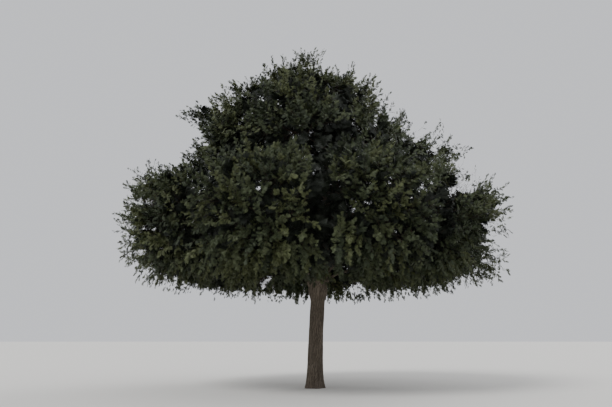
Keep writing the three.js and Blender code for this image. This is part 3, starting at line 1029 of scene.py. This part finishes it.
def sweep_circle(points, radii, sides):
    """A tube along points with a ring of corners at each, made by sweeping a circle along a curve."""
    bpy.ops.object.select_all(action="DESELECT")
    bpy.ops.curve.primitive_bezier_circle_add(radius=1)
    circle = bpy.context.active_object
    circle.data.resolution_u = sides // 4
    bpy.ops.curve.primitive_nurbs_path_add()
    rail = bpy.context.active_object
    rail.data.splines.clear()
    spline = rail.data.splines.new("POLY")
    spline.points.add(len(points) - 1)
    spline.points.foreach_set("co", np.column_stack([points, np.ones(len(points))]).ravel())
    spline.points.foreach_set("radius", radii)
    rail.data.bevel_mode = "OBJECT"
    rail.data.bevel_object = circle
    bpy.ops.object.convert(target="MESH")
    bpy.data.objects.remove(circle)
    return bpy.context.active_object


def close_ends(piece):
    """Fills both open ends of a tube."""
    bpy.ops.object.mode_set(mode="EDIT")
    bpy.ops.mesh.select_all(action="SELECT")
    bpy.ops.mesh.fill_holes(sides=0)
    bpy.ops.object.mode_set(mode="OBJECT")
    piece.data.shade_smooth()


def mark_bark(piece, place, relief):
    """Stores where each corner lies on its limb, and whether on a plate or in a furrow."""
    along = piece.data.attributes.new("bark_place", "FLOAT_VECTOR", "POINT")
    along.data.foreach_set("vector", place.astype(np.float32).ravel())
    height = piece.data.attributes.new("bark_ridge", "FLOAT", "POINT")
    height.data.foreach_set("value", relief.astype(np.float32).ravel())


def limb_stations(limb, step):
    """Places along a limb above the ground, with the run to each and its share of the curved part."""
    points, _ = centre_line(limb, step)
    runs = np.concatenate([[0], np.cumsum(np.linalg.norm(np.diff(points, axis=0), axis=1))])
    if limb.stem is not None:
        return points, runs, np.minimum(runs / (runs[-1] - STEM_LENGTH), 1)
    standing = points[:, 2] >= 0
    points[np.argmax(standing), 2] = 0
    return points[standing], runs[standing], runs[standing] / runs[-1]


def bark_relief(limb, angle, along, look, rng):
    """The relief of a limb's bark, from 0 to 1: long plates, with finer ones on them."""
    girth = 2 * math.pi * limb.radius_at(np.array([0.3]), 0.0)[0]
    around = max(6, round(girth / look.plate_width))
    plates = bark_plates(angle, along, around, look.plate_length, rng)
    fine = bark_plates(angle, along, 2 * around, 0.6 * look.plate_length, rng)
    return plates * (1 - FINE_SHARE + FINE_SHARE * fine)


def make_limb_skin(limb, mesh, look, rng):
    """A limb's skin with the plates, furrows and swellings of its bark."""
    sides, step = mesh
    points, runs, shares = limb_stations(limb, step)
    skin = sweep_circle(points, limb.radius_at(shares, 0.0), sides)
    corners = np.empty(len(points) * sides * 3)
    skin.data.vertices.foreach_get("co", corners)
    outward = unit(corners.reshape(len(points), sides, 3) - points[:, None])
    first_angle = math.atan2(outward[0, 0, 1], outward[0, 0, 0])
    angle = first_angle + np.arange(sides)[None, :] * 2 * math.pi / sides
    along = runs[:, None]
    relief = bark_relief(limb, angle, along, look, rng)
    uneven = ripple(angle, along, rng, 4, UNEVEN_LENGTH, UNEVENNESS)
    radius = limb.radius_at(shares[:, None], angle) * (1 + uneven)
    depth = look.furrow_depth * np.sqrt(radius / TRUNK_RADIUS)
    smooth = swell_at_joints(points[:, None] + outward * radius[..., None], outward, limb)
    corners = smooth + outward * (depth * (relief - LEVEL_BARK))[..., None]
    if limb.stem is None:
        corners[0, :, 2] = 0
    skin.data.vertices.foreach_set("co", corners.ravel())
    even = limb.radius_at(shares, 0.0)[:, None]
    place = np.stack([even * np.cos(angle), even * np.sin(angle), along + 0 * angle], axis=-1)
    mark_bark(skin, place + rng.uniform(0, 50, 3), relief)
    close_ends(skin)
    return skin


def bark_of(colours):
    """The bark that the trunk and the boughs share."""
    made = bpy.data.materials.get(BARK_NAME)
    return made or fissured_bark(tuple(colours.bark_ridge), tuple(colours.bark_furrow))


def finished_bark(skins, name, replaced, colours):
    """The skins joined into one piece of bark that stands for the replaced nodes."""
    bpy.ops.object.select_all(action="DESELECT")
    for skin in skins:
        skin.select_set(True)
    bpy.context.view_layer.objects.active = skins[0]
    bpy.ops.object.join()
    piece = bpy.context.active_object
    piece.name = piece.data.name = name
    piece.data.materials.append(bark_of(colours))
    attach(piece, "root")
    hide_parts(*replaced)
    return piece


# Materials

# Sizes of their patterns, in metres. The cork's real grain is a few millimetres wide and couldn't be
# seen from the camera, so it is drawn coarser, and so are the mottles, which stand for whole sprays.
CORK_GRAIN = 0.018
CORK_GRAIN_LENGTH = 0.082
CORK_RELIEF = 0.010
BARK_BLOTCH = 0.286
TWIG_FLECK = 0.025
TWIG_RELIEF = 0.003
LEAF_MOTTLE = 0.11
BLOTCH_TINT = "#cecbc5"  # by which the bark is darkened in blotches


def add_node(tree, kind, links=None, **settings):
    """Adds a node, sets its properties and sockets, and links sockets from other nodes' outputs."""
    node = tree.nodes.new(kind)
    for name, value in settings.items():
        if hasattr(node, name):
            setattr(node, name, value)
        else:
            node.inputs[name.replace("_", " ")].default_value = value
    for name, output in (links or {}).items():
        tree.links.new(output, node.inputs[name])
    return node


def new_material(name, roughness, specular):
    """A material with its node tree and its surface node."""
    material = bpy.data.materials.new(name)
    material.use_nodes = True
    shader = material.node_tree.nodes["Principled BSDF"]
    shader.inputs["Roughness"].default_value = roughness
    shader.inputs["Specular IOR Level"].default_value = specular
    return material, material.node_tree, shader


def fissured_bark(ridge_colour, furrow_colour):
    """Old acacia bark, split open by the limb's own growth: it reads as corky grey ridges over dark
    furrows, with a fine grain along the limb."""
    material, tree, shader = new_material(BARK_NAME, roughness=0.92, specular=0.2)
    place = add_node(tree, "ShaderNodeAttribute", attribute_name="bark_place").outputs["Vector"]
    ridge = add_node(tree, "ShaderNodeAttribute", attribute_name="bark_ridge").outputs["Fac"]
    drawn_out = (1, 1, CORK_GRAIN / CORK_GRAIN_LENGTH)
    along_limb = add_node(tree, "ShaderNodeMapping", {"Vector": place}, Scale=drawn_out).outputs["Vector"]
    noise = add_node(tree, "ShaderNodeTexNoise", {"Vector": along_limb}, Scale=1 / CORK_GRAIN, Detail=5)
    grain = noise.outputs["Fac"]
    blotch = add_node(tree, "ShaderNodeTexNoise", {"Vector": place}, Scale=1 / BARK_BLOTCH)
    worn = add_node(tree, "ShaderNodeMath", {0: ridge, 1: grain}, operation="MULTIPLY").outputs[0]
    height = add_node(tree, "ShaderNodeMath", {0: ridge, 1: grain, 2: worn}, operation="MULTIPLY_ADD")
    tone = add_node(tree, "ShaderNodeValToRGB", {"Fac": height.outputs[0]})
    tone.color_ramp.elements[0].color = (*furrow_colour, 1)
    tone.color_ramp.elements[1].color = (*ridge_colour, 1)
    tone.color_ramp.elements[1].position = 0.95
    weathered = (*linear(BLOTCH_TINT), 1)
    shade = add_node(tree, "ShaderNodeMix", data_type="RGBA", blend_type="MULTIPLY", B=weathered)
    tree.links.new(blotch.outputs["Fac"], shade.inputs["Factor"])
    tree.links.new(tone.outputs["Color"], shade.inputs["A"])
    tree.links.new(shade.outputs["Result"], shader.inputs["Base Color"])
    bump = add_node(tree, "ShaderNodeBump", {"Height": grain}, Strength=1.0, Distance=CORK_RELIEF)
    tree.links.new(bump.outputs["Normal"], shader.inputs["Normal"])
    return material


def twig_bark(colour):
    """Young bark, not yet split: smoother and browner than the trunk's, with paler flecks."""
    material, tree, shader = new_material("young acacia bark", roughness=0.8, specular=0.25)
    place = add_node(tree, "ShaderNodeTexCoord").outputs["Object"]
    fleck = add_node(tree, "ShaderNodeTexNoise", {"Vector": place}, Scale=1 / TWIG_FLECK)
    tone = add_node(tree, "ShaderNodeValToRGB", {"Fac": fleck.outputs["Fac"]})
    tone.color_ramp.elements[0].color = (*(0.6 * c for c in colour), 1)
    tone.color_ramp.elements[0].position = 0.35
    tone.color_ramp.elements[1].color = (*(1.3 * c for c in colour), 1)
    tone.color_ramp.elements[1].position = 0.7
    tree.links.new(tone.outputs["Color"], shader.inputs["Base Color"])
    relief = {"Height": fleck.outputs["Fac"]}
    bump = add_node(tree, "ShaderNodeBump", relief, Strength=0.3, Distance=TWIG_RELIEF)
    tree.links.new(bump.outputs["Normal"], shader.inputs["Normal"])
    return material


def leaf_material(name, colour):
    """A dry-country leaf under its thin wax: nearly matt, and mottled so that no spray is flat in tone."""
    material, tree, shader = new_material(name, roughness=0.62, specular=0.3)
    place = add_node(tree, "ShaderNodeTexCoord").outputs["Object"]
    mottle = add_node(tree, "ShaderNodeTexNoise", {"Vector": place}, Scale=1 / LEAF_MOTTLE, Detail=3)
    tone = add_node(tree, "ShaderNodeValToRGB", {"Fac": mottle.outputs["Fac"]})
    tone.color_ramp.elements[0].color = (*(0.75 * c for c in colour), 1)
    tone.color_ramp.elements[0].position = 0.3
    tone.color_ramp.elements[1].color = (*(1.2 * c for c in colour), 1)
    tone.color_ramp.elements[1].position = 0.7
    tree.links.new(tone.outputs["Color"], shader.inputs["Base Color"])
    return material


# Leaves


def feathered_leaf(reach_across, blade_width, rib_width=0):
    """A leaf one unit long in its own outline: pairs of slender leaflets along a rib and one at its end.
    Across is x, along the rib is y, and the face looks up z. A leaflet is one face, straight on the side
    towards the leaf's foot and bellied on the other, as an acacia's are. A spray seen only as shade has
    no rib."""
    corners, faces = [], []

    def blade(root, tip, hand):
        base = len(corners)
        along = unit(tip - root)
        belly = root + (tip - root) * 0.4 + np.array([-along[1], along[0], 0]) * hand * blade_width
        corners.extend([root, tip, belly + [0, 0, 0.15 * blade_width]])
        faces.append((base, base + 1, base + 2) if hand > 0 else (base, base + 2, base + 1))

    for i in range(LEAF_PAIRS):
        share = (i + 0.7) / (LEAF_PAIRS + 0.4)
        long = reach_across * (0.72 + 0.5 * math.sin(math.pi * (0.15 + 0.75 * share)))
        for hand in (-1, 1):
            root = np.array([0, share * 0.8 + 0.02 * hand, 0])
            tip = root + np.array([hand * long * 0.84, long * 0.54, -0.18 * long])
            blade(root, tip, hand)
    blade(np.array([0, 0.76, 0]), np.array([0, 1.0, -0.04]), 1)
    if rib_width:
        base = len(corners)
        corners.extend(np.array([[-rib_width, 0, 0], [rib_width, 0, 0], [0, 0.8, 0]]))
        faces.append((base, base + 1, base + 2))
    return np.array(corners), np.array(faces)


@dataclass
class LeafPlaces:
    """Where the leaves stand: root, line, facing, size and the shoot that each belongs to."""

    roots: np.ndarray
    lines: np.ndarray
    facings: np.ndarray
    scales: np.ndarray
    owner: np.ndarray

    def only(self, rows):
        """Those of the places that the rows name."""
        parts = (self.roots, self.lines, self.facings, self.scales, self.owner)
        return LeafPlaces(*(part[rows] for part in parts))


def lay_leaves(template, leaves, length, rng):
    """Copies of a leaf, each at its root, pointing along its own line and facing its own way."""
    corners, faces = template
    count = len(leaves.roots)
    side = unit(np.cross(leaves.lines, leaves.facings))
    normal = np.cross(side, leaves.lines)
    uneven = rng.uniform(-LEAF_UNEVENNESS, LEAF_UNEVENNESS, (count, len(corners), 1))
    local = corners[None] * (1 + uneven)
    droop = -LEAF_DROOP * local[..., 1:2] ** 2
    placed = (
        side[:, None] * local[..., 0:1]
        + leaves.lines[:, None] * local[..., 1:2]
        + normal[:, None] * (local[..., 2:3] + droop)
    )
    lengths = length * leaves.scales
    corners_out = leaves.roots[:, None] + placed * lengths[:, None, None]
    faces_out = faces[None] + (np.arange(count) * len(corners))[:, None, None]
    return corners_out, faces_out.reshape(-1, 3)


@dataclass
class Twigs:
    """Twigs of one kind: the path of each, and the shoot that it belongs to."""

    paths: np.ndarray
    owner: np.ndarray


def along_paths(paths, share):
    """The point and the direction at a share of every path."""
    levels = paths.shape[1] - 1
    at = min(int(share * levels), levels - 1)
    part = share * levels - at
    place = paths[:, at] * (1 - part) + paths[:, at + 1] * part
    return place, unit(paths[:, at + 1] - paths[:, at])


def hanging(points):
    """How much shoots at these points hang: from 0 at the crown's sides to 1 at the browse line."""
    depth = HANGING_HEIGHT - BROWSE_LINE - HANGING_MARGIN
    return np.clip((HANGING_HEIGHT - points[:, 2]) / depth, 0, 1)


def grow_shoots(growth, rng):
    """Shoots that end upright on top of the crown, level at its sides and hanging below it."""
    starts, headings, ends = (gathered(growth.shoots, name) for name in ("start", "heading", "tip"))
    facing = crown_outward(ends)
    hang = hanging(ends)
    rise = (1 - hang) * (0.55 * facing[:, 2] + 0.12) - hang
    lean = 0.5 * facing + rise[:, None] * [0, 0, 1]
    wander = rng.normal(scale=SHOOT_WANDER, size=ends.shape)
    arrivals = unit(unit(ends - starts) + lean + wander)
    return Twigs(curved_paths(starts, headings, ends, arrivals, 3), np.arange(len(starts))), facing


def grow_side_twigs(shoots, facing, rng):
    """Side twigs along every shoot, shorter towards its tip."""
    roots, tips = [], []
    for share in SIDE_TWIGS:
        place, tangent = along_paths(shoots.paths, share)
        lean = unit(0.8 * tangent + 0.6 * across_of(tangent, rng) + 0.2 * facing)
        roots.append(place)
        tips.append(place + lean * ((1.3 - share) * rng.uniform(*TWIG_LENGTHS, len(place)))[:, None])
    paths = np.stack([np.vstack(roots), np.vstack(tips)], axis=1)
    return Twigs(paths, np.tile(shoots.owner, len(SIDE_TWIGS)))


def whip_limits():
    """The lowest and highest corner of the box in which whips end."""
    return np.array(CAD_BOX[0]) - WHIP_MARGIN, np.array(CAD_BOX[1]) + WHIP_MARGIN


def grow_whips(shoots, facing, growth, rng):
    """Slender leafy whips that leave the outer shoots: up from the crown's top, out from its sides and
    down from the browse line."""
    outer = gathered(growth.shoots, "tone") < SHADE_TONE
    low, high = whip_limits()
    paths, owners = [], []
    for share in WHIP_FEET:
        roots, tangent = along_paths(shoots.paths, share)
        rise = 0.1 + 0.4 * facing[:, 2] - 1.6 * hanging(roots)
        wander = rng.normal(scale=WHIP_WANDER, size=facing.shape)
        lean = unit(tangent * 0.7 + 0.6 * facing + rise[:, None] * [0, 0, 1] + wander)
        tips = roots + lean * rng.uniform(*WHIP_LENGTHS, len(roots))[:, None]
        chosen = rng.uniform(size=len(roots)) < WHIP_SHARE * (1 + 0.8 * hanging(roots))
        grown = outer & chosen & ((tips > low) & (tips < high)).all(axis=1)
        bend = roots + (tips - roots) * 0.5 + rng.normal(scale=0.02, size=roots.shape)
        paths.append(np.stack([roots, bend, tips], axis=1)[grown])
        owners.append(shoots.owner[grown])
    spray_paths, spray_owners = long_sprays(shoots, outer, rng)
    return Twigs(np.vstack([*paths, spray_paths]), np.concatenate([*owners, spray_owners]))


def long_sprays(shoots, outer, rng):
    """The strands of the longest sprays, each from the nearest shoot to a tip at the crown's edge."""
    candidates = np.flatnonzero(outer)
    feet = shoots.paths[candidates, -2]
    paths, owners = [], []
    for across, height, strands in LONG_SPRAYS:
        tip = np.array([across, 0, height])
        nearest = np.argsort(((feet - tip) ** 2).sum(axis=1))[:strands]
        for i in nearest:
            end = tip + [0, 0.5 * feet[i][1], 0] + rng.normal(scale=STRAND_SPREAD, size=3) * [1, 1, 0.6]
            end = np.clip(end, *whip_limits())
            bend = feet[i] + (end - feet[i]) * SPRAY_BEND + rng.normal(scale=0.03, size=3)
            paths.append([feet[i], bend, end])
            owners.append(candidates[i])
    return np.array(paths), np.array(owners)


@lru_cache(maxsize=1)
def grow_twigs(sizes):
    """Every shoot, side twig and whip, with the way the crown faces at each shoot."""
    rng = np.random.default_rng(GROWTH_SEED + 3)
    growth = grow_crown(sizes)
    shoots, facing = grow_shoots(growth, rng)
    return shoots, grow_side_twigs(shoots, facing, rng), grow_whips(shoots, facing, growth, rng), facing


def lay_out_leaves(sizes):
    """Places of the leaves along every shoot, side twig and whip."""
    rng = np.random.default_rng(GROWTH_SEED + 5)
    *kinds, facing = grow_twigs(sizes)
    roots, lines, facings, scales, owner = [], [], [], [], []
    for twigs, leaves in zip(kinds, (SHOOT_LEAVES, SIDE_LEAVES, WHIP_LEAVES)):
        for share, scale in leaves:
            place, tangent = along_paths(twigs.paths, share)
            spread = (0.95 - 0.7 * share) * across_of(tangent, rng)
            roots.append(place)
            lines.append(unit(tangent * (0.4 + 0.6 * share) + spread))
            tilt = rng.normal(scale=LEAF_TILT, size=place.shape)
            facings.append(unit(facing[twigs.owner] + [0, 0, 0.35] + tilt))
            scales.append(scale * rng.uniform(*LEAF_SCALES, len(place)))
            owner.append(twigs.owner)
    return LeafPlaces(*(np.concatenate(part) for part in (roots, lines, facings, scales, owner)))


def leaves_kept(leaves, tones, rng):
    """Which leaves stand in the light at the crown's outside, and which are kept in its shade."""
    tips = leaves.roots + leaves.lines * LEAF_REACH
    luck = rng.uniform(size=len(leaves.roots))
    free = ~near_limbs(leaves.roots, LIMB_CLEARANCE)
    free &= ~in_sky_gap(leaves.roots, luck) & ~in_sky_gap(tips, luck)
    shaded = tones[leaves.owner] == SHADE_TONE
    return free & ~shaded, free & shaded & (rng.uniform(size=len(shaded)) < SHADE_SHARE)


def length_property(name, description, default, low, high):
    """A length that a user can change, in metres."""
    return bpy.props.FloatProperty(
        name=name,
        description=description,
        default=default,
        min=low,
        max=high,
        subtype="DISTANCE",
        unit="LENGTH",
    )


def colour_property(name, description, hex_colour):
    """A colour that a user can change."""
    return bpy.props.FloatVectorProperty(
        name=name,
        description=description,
        default=linear(hex_colour),
        min=0,
        max=1,
        subtype="COLOR",
    )


class AcaciaSizes(bpy.types.PropertyGroup):
    """Sizes of the bark, the twigs and the leaves."""

    furrow_depth: length_property(
        "Furrow depth", "Depth of the furrows between the bark's plates at the trunk", 0.024, 0.002, 0.05
    )
    plate_width: length_property(
        "Plate width", "Width of the bark's plates around a limb", 0.058, 0.02, 0.2
    )
    plate_length: length_property(
        "Plate length", "Length of the bark's plates along a limb", 0.42, 0.05, 1
    )
    tuft_spacing: length_property(
        "Tuft spacing", "Distance between the rounded tufts on the crown's outside", 1.0, 0.4, 3
    )
    tuft_depth: length_property(
        "Tuft depth", "How far the foliage stands back between tufts", 0.36, 0, 1
    )
    shoot_spacing: length_property(
        "Shoot spacing", "Distance between the tips of shoots on the crown's outside", 0.256, 0.1, 1
    )
    inner_spacing: length_property(
        "Inner spacing", "Distance between the tips of shoots inside the crown", 0.46, 0.2, 2
    )
    shoot_radius: length_property(
        "Shoot radius", "Radius of a shoot at its foot", 0.0065, 0.002, 0.02
    )
    thickening: bpy.props.FloatProperty(
        name="Thickening",
        description="Power of the number of shoots it serves with which a branch thickens",
        default=0.345,
        min=0.2,
        max=0.6,
    )
    leaf_length: length_property(
        "Leaf length", "Length of a leaf on the crown's outside, larger than life", 0.158, 0.03, 0.5
    )
    inner_leaf_length: length_property(
        "Inner leaf length", "Length of a spray inside the crown, only seen as shade", 0.33, 0.1, 1
    )


class AcaciaColours(bpy.types.PropertyGroup):
    """Colours of the bark, the twigs, the leaves and the floor."""

    bark_ridge: colour_property("Bark ridge", "Weathered top of a bark ridge", "#7b7165")
    bark_furrow: colour_property("Bark furrow", "Bottom of a furrow in the bark", "#1f1a16")
    twig: colour_property("Twig", "Bark of branches and twigs", "#4a3f35")
    # Partly painted shade: leaves 1 to 4 run from light to dark, half at random and half by how far their
    # tuft stands back
    leaves_1: colour_property("Leaves 1", "Lightest leaves, mostly on tufts that stand out", "#484e30")
    leaves_2: colour_property("Leaves 2", "Leaves a shade darker than the lightest", "#3f462c")
    leaves_3: colour_property("Leaves 3", "Leaves a shade lighter than the darkest", "#373f28")
    leaves_4: colour_property("Leaves 4", "Darkest leaves, mostly on tufts that stand back", "#2f3724")
    # Painted shade: the leaves deep inside the crown get a near-black colour that stands for the shade they
    # lie in
    leaves_shade: colour_property("Leaves in the shade", "Leaves inside the crown", "#181e14")
    floor: colour_property("Floor", "Plain studio floor", "#d9d7d2")


def crown_sizes(context):
    """The sizes that the crown grows by, rounded because Blender keeps them in single precision."""
    sizes = context.scene.acacia_sizes
    return CrownSizes(
        round(sizes.tuft_spacing, 5),
        round(sizes.tuft_depth, 5),
        round(sizes.shoot_spacing, 5),
        round(sizes.inner_spacing, 5),
        round(sizes.shoot_radius, 6),
        round(sizes.thickening, 5),
    )


class ACACIA_OT_trunk(bpy.types.Operator):
    """Grow the trunk's bark from the ground to the fork"""

    bl_idname = "acacia.trunk"
    bl_label = "Trunk"

    def execute(self, context):
        look = context.scene.acacia_sizes
        rng = np.random.default_rng(SEED + 1)
        skin = make_limb_skin(lay_out_limbs()[0], TRUNK_MESH, look, rng)
        finished_bark([skin], "trunk_bark", ["trunk"], context.scene.acacia_colours)
        return {"FINISHED"}


class ACACIA_OT_boughs(bpy.types.Operator):
    """Grow the bark of the leaders and boughs from the fork to their masses"""

    bl_idname = "acacia.boughs"
    bl_label = "Boughs"

    def execute(self, context):
        look = context.scene.acacia_sizes
        rng = np.random.default_rng(SEED + 2)
        boughs = lay_out_limbs()[1:]
        skins = []
        for bough in boughs:
            mesh = LEADER_MESH if bough.name.startswith("leader") else BOUGH_MESH
            skins.append(make_limb_skin(bough, mesh, look, rng))
        names = [bough.name for bough in boughs]
        finished_bark(skins, "bough_bark", names, context.scene.acacia_colours)
        return {"FINISHED"}


def branch_groups(growth):
    """The branches in groups by thickness, with the sides and sections that each group is drawn with."""
    radii = gathered(growth.branches, "radius")
    for low, high, sides, sections in BRANCH_MESHES:
        chosen = np.flatnonzero((radii > low) & (radii <= high))
        yield [growth.branches[i] for i in chosen], sides, sections


class ACACIA_OT_twigs(bpy.types.Operator):
    """Grow the branches, shoots and twigs of every mass"""

    bl_idname = "acacia.twigs"
    bl_label = "Branches and twigs"

    def execute(self, context):
        sizes = crown_sizes(context)
        material = twig_bark(tuple(context.scene.acacia_colours.twig))
        self.make_branches(grow_crown(sizes), material)
        self.make_shoots(sizes, material)
        return {"FINISHED"}

    def make_branches(self, growth, material):
        """Rods for the branches, each sunk into the one before it and drawn out to a point."""
        shape = Shape()
        for branches, sides, sections in branch_groups(growth):
            starts, headings, ends, onwards, radii = (gathered(branches, name) for name in Branch._fields)
            sunk = starts - headings * radii[:, None]
            beyond = ends + onwards * radii[:, None] * 2
            paths = curved_paths(sunk, headings, ends, onwards, sections)
            paths = np.concatenate([paths, beyond[:, None]], axis=1)
            taper = np.linspace(1, BRANCH_TAPER, sections + 1)
            widths = radii[:, None] * np.append(taper, 0)[None]
            add_rods(shape, paths, widths, sides)
        piece = finished_mesh("branches", shape, material, smooth=True)

    def make_shoots(self, sizes, material):
        """Three-sided rods for the shoots, the side twigs and the whips."""
        *kinds, _ = grow_twigs(sizes)
        shape = Shape()
        for twigs, widths in zip(kinds, TWIG_TAPERS):
            taper = sizes.shoot_radius * np.array(widths)
            add_rods(shape, twigs.paths, np.broadcast_to(taper, twigs.paths.shape[:2]), 3)
        piece = finished_mesh("twigs", shape, material)


class ACACIA_OT_leaves(bpy.types.Operator):
    """Lay the leaves along the shoots, in tints dealt out by shoot"""

    bl_idname = "acacia.leaves"
    bl_label = "Leaves"

    def execute(self, context):
        look = context.scene.acacia_sizes
        colours = context.scene.acacia_colours
        sizes = crown_sizes(context)
        rng = np.random.default_rng(GROWTH_SEED + 6)
        leaves = lay_out_leaves(sizes)
        tones = gathered(grow_crown(sizes).shoots, "tone")
        lit, shaded = leaves_kept(leaves, tones, rng)
        # Painted shade: half of each shoot's tint comes from its tuft's tone, so tufts that stand back get
        # darker leaves and those that stand out lighter ones; the other half is random
        mixed = 0.5 * tones + 0.5 * rng.uniform(size=len(tones))
        steps = np.quantile(mixed[tones < SHADE_TONE], np.arange(1, TINTS) / TINTS)
        tint = np.searchsorted(steps, mixed)[leaves.owner]
        small = feathered_leaf(reach_across=0.36, blade_width=0.18, rib_width=0.012)
        for i in range(TINTS):
            name = f"leaves_{i + 1}"
            standing = leaves.only(lit & (tint == i))
            self.make_piece(name, standing, small, look.leaf_length, getattr(colours, name), rng)
        broad = feathered_leaf(reach_across=0.46, blade_width=0.22)
        length = look.inner_leaf_length
        # The inner sprays take the near-black colour of painted shade
        self.make_piece("leaves_shade", leaves.only(shaded), broad, length, colours.leaves_shade, rng)
        return {"FINISHED"}

    def make_piece(self, name, leaves, template, length, colour, rng):
        """One tint's leaves, which stand for the solids' masses together with the other tints'."""
        shape = Shape()
        shape.add(*lay_leaves(template, leaves, length, rng))
        material = leaf_material(f"acacia {name.replace('_', ' ')}", tuple(colour))
        piece = finished_mesh(name, shape, material)
        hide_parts(*(f"{mass.name}_foliage" for mass in lay_out_masses()))


class ACACIA_OT_stage(bpy.types.Operator):
    """Set the floor, the soft light and the camera"""

    bl_idname = "acacia.stage"
    bl_label = "Stage"

    def execute(self, context):
        self.lay_floor(context.scene.acacia_colours)
        self.light()
        self.stand_camera()
        return {"FINISHED"}

    def lay_floor(self, colours):
        """A pale floor so wide that its edge is the horizon."""
        bpy.ops.object.select_all(action="DESELECT")
        bpy.ops.mesh.primitive_circle_add(vertices=96, radius=FLOOR_RADIUS, fill_type="NGON")
        floor = bpy.context.active_object
        floor.name = "floor"
        material, _, shader = new_material("matt studio floor", roughness=0.9, specular=0.2)
        shader.inputs["Base Color"].default_value = (*colours.floor, 1)
        floor.data.materials.append(material)
        floor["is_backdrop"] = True

    def light(self):
        """Soft light from all round, a key light from the camera's side and one from behind."""
        world = bpy.data.worlds.new("soft studio")
        world.use_nodes = True
        air = world.node_tree.nodes["Background"]
        air.inputs["Color"].default_value = (*linear(AIR_COLOUR), 1)
        air.inputs["Strength"].default_value = AIR_STRENGTH
        bpy.context.scene.world = world
        for name, strength, angle, turn in LAMPS:
            bpy.ops.object.light_add(type="SUN", rotation=[math.radians(t) for t in turn])
            lamp = bpy.context.active_object
            lamp.name = name
            lamp.data.energy = strength
            lamp.data.angle = math.radians(angle)

    def stand_camera(self):
        """A camera at standing eye height that looks up at the crown."""
        bpy.ops.object.camera_add(location=tuple(EYE), rotation=(math.radians(90 + EYE_RISE), 0, 0))
        camera = bpy.context.active_object
        camera.name = "camera"
        camera.data.lens = LENS
        camera.data.sensor_width = SENSOR
        camera.data.clip_end = 5000
        bpy.context.scene.camera = camera


class ACACIA_PT_tree(bpy.types.Panel):
    """Lists the tree's pieces, sizes and colours"""

    bl_idname = "ACACIA_PT_tree"
    bl_label = "Umbrella acacia"
    bl_space_type = "VIEW_3D"
    bl_region_type = "UI"
    bl_category = "Acacia"

    def draw(self, context):
        for operator in OPERATORS:
            self.layout.operator(operator.bl_idname)
        for group in (context.scene.acacia_sizes, context.scene.acacia_colours):
            for name in group.__annotations__:
                self.layout.prop(group, name)


OPERATORS = [ACACIA_OT_trunk, ACACIA_OT_boughs, ACACIA_OT_twigs, ACACIA_OT_leaves, ACACIA_OT_stage]
CLASSES = [AcaciaSizes, AcaciaColours, *OPERATORS, ACACIA_PT_tree]


def register():
    for cls in CLASSES:
        bpy.utils.register_class(cls)
    bpy.types.Scene.acacia_sizes = bpy.props.PointerProperty(type=AcaciaSizes)
    bpy.types.Scene.acacia_colours = bpy.props.PointerProperty(type=AcaciaColours)


def unregister():
    del bpy.types.Scene.acacia_colours
    del bpy.types.Scene.acacia_sizes
    for cls in reversed(CLASSES):
        bpy.utils.unregister_class(cls)


def write_sizes():
    """Works out the boxes of the solids and of the dressed tree, but keeps them nowhere."""
    boxes = {"cad": CAD_BOX, "visual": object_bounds()}
    {name: [list(corner) for corner in box] for name, box in boxes.items()}


def main():
    """Dresses the tree, piece by piece."""
    register()
    bpy.ops.object.select_all(action="DESELECT")
    bpy.ops.acacia.stage()
    bpy.ops.acacia.trunk()
    bpy.ops.acacia.boughs()
    bpy.ops.acacia.twigs()
    bpy.ops.acacia.leaves()
    write_sizes()


if __name__ == "__main__":
    main()
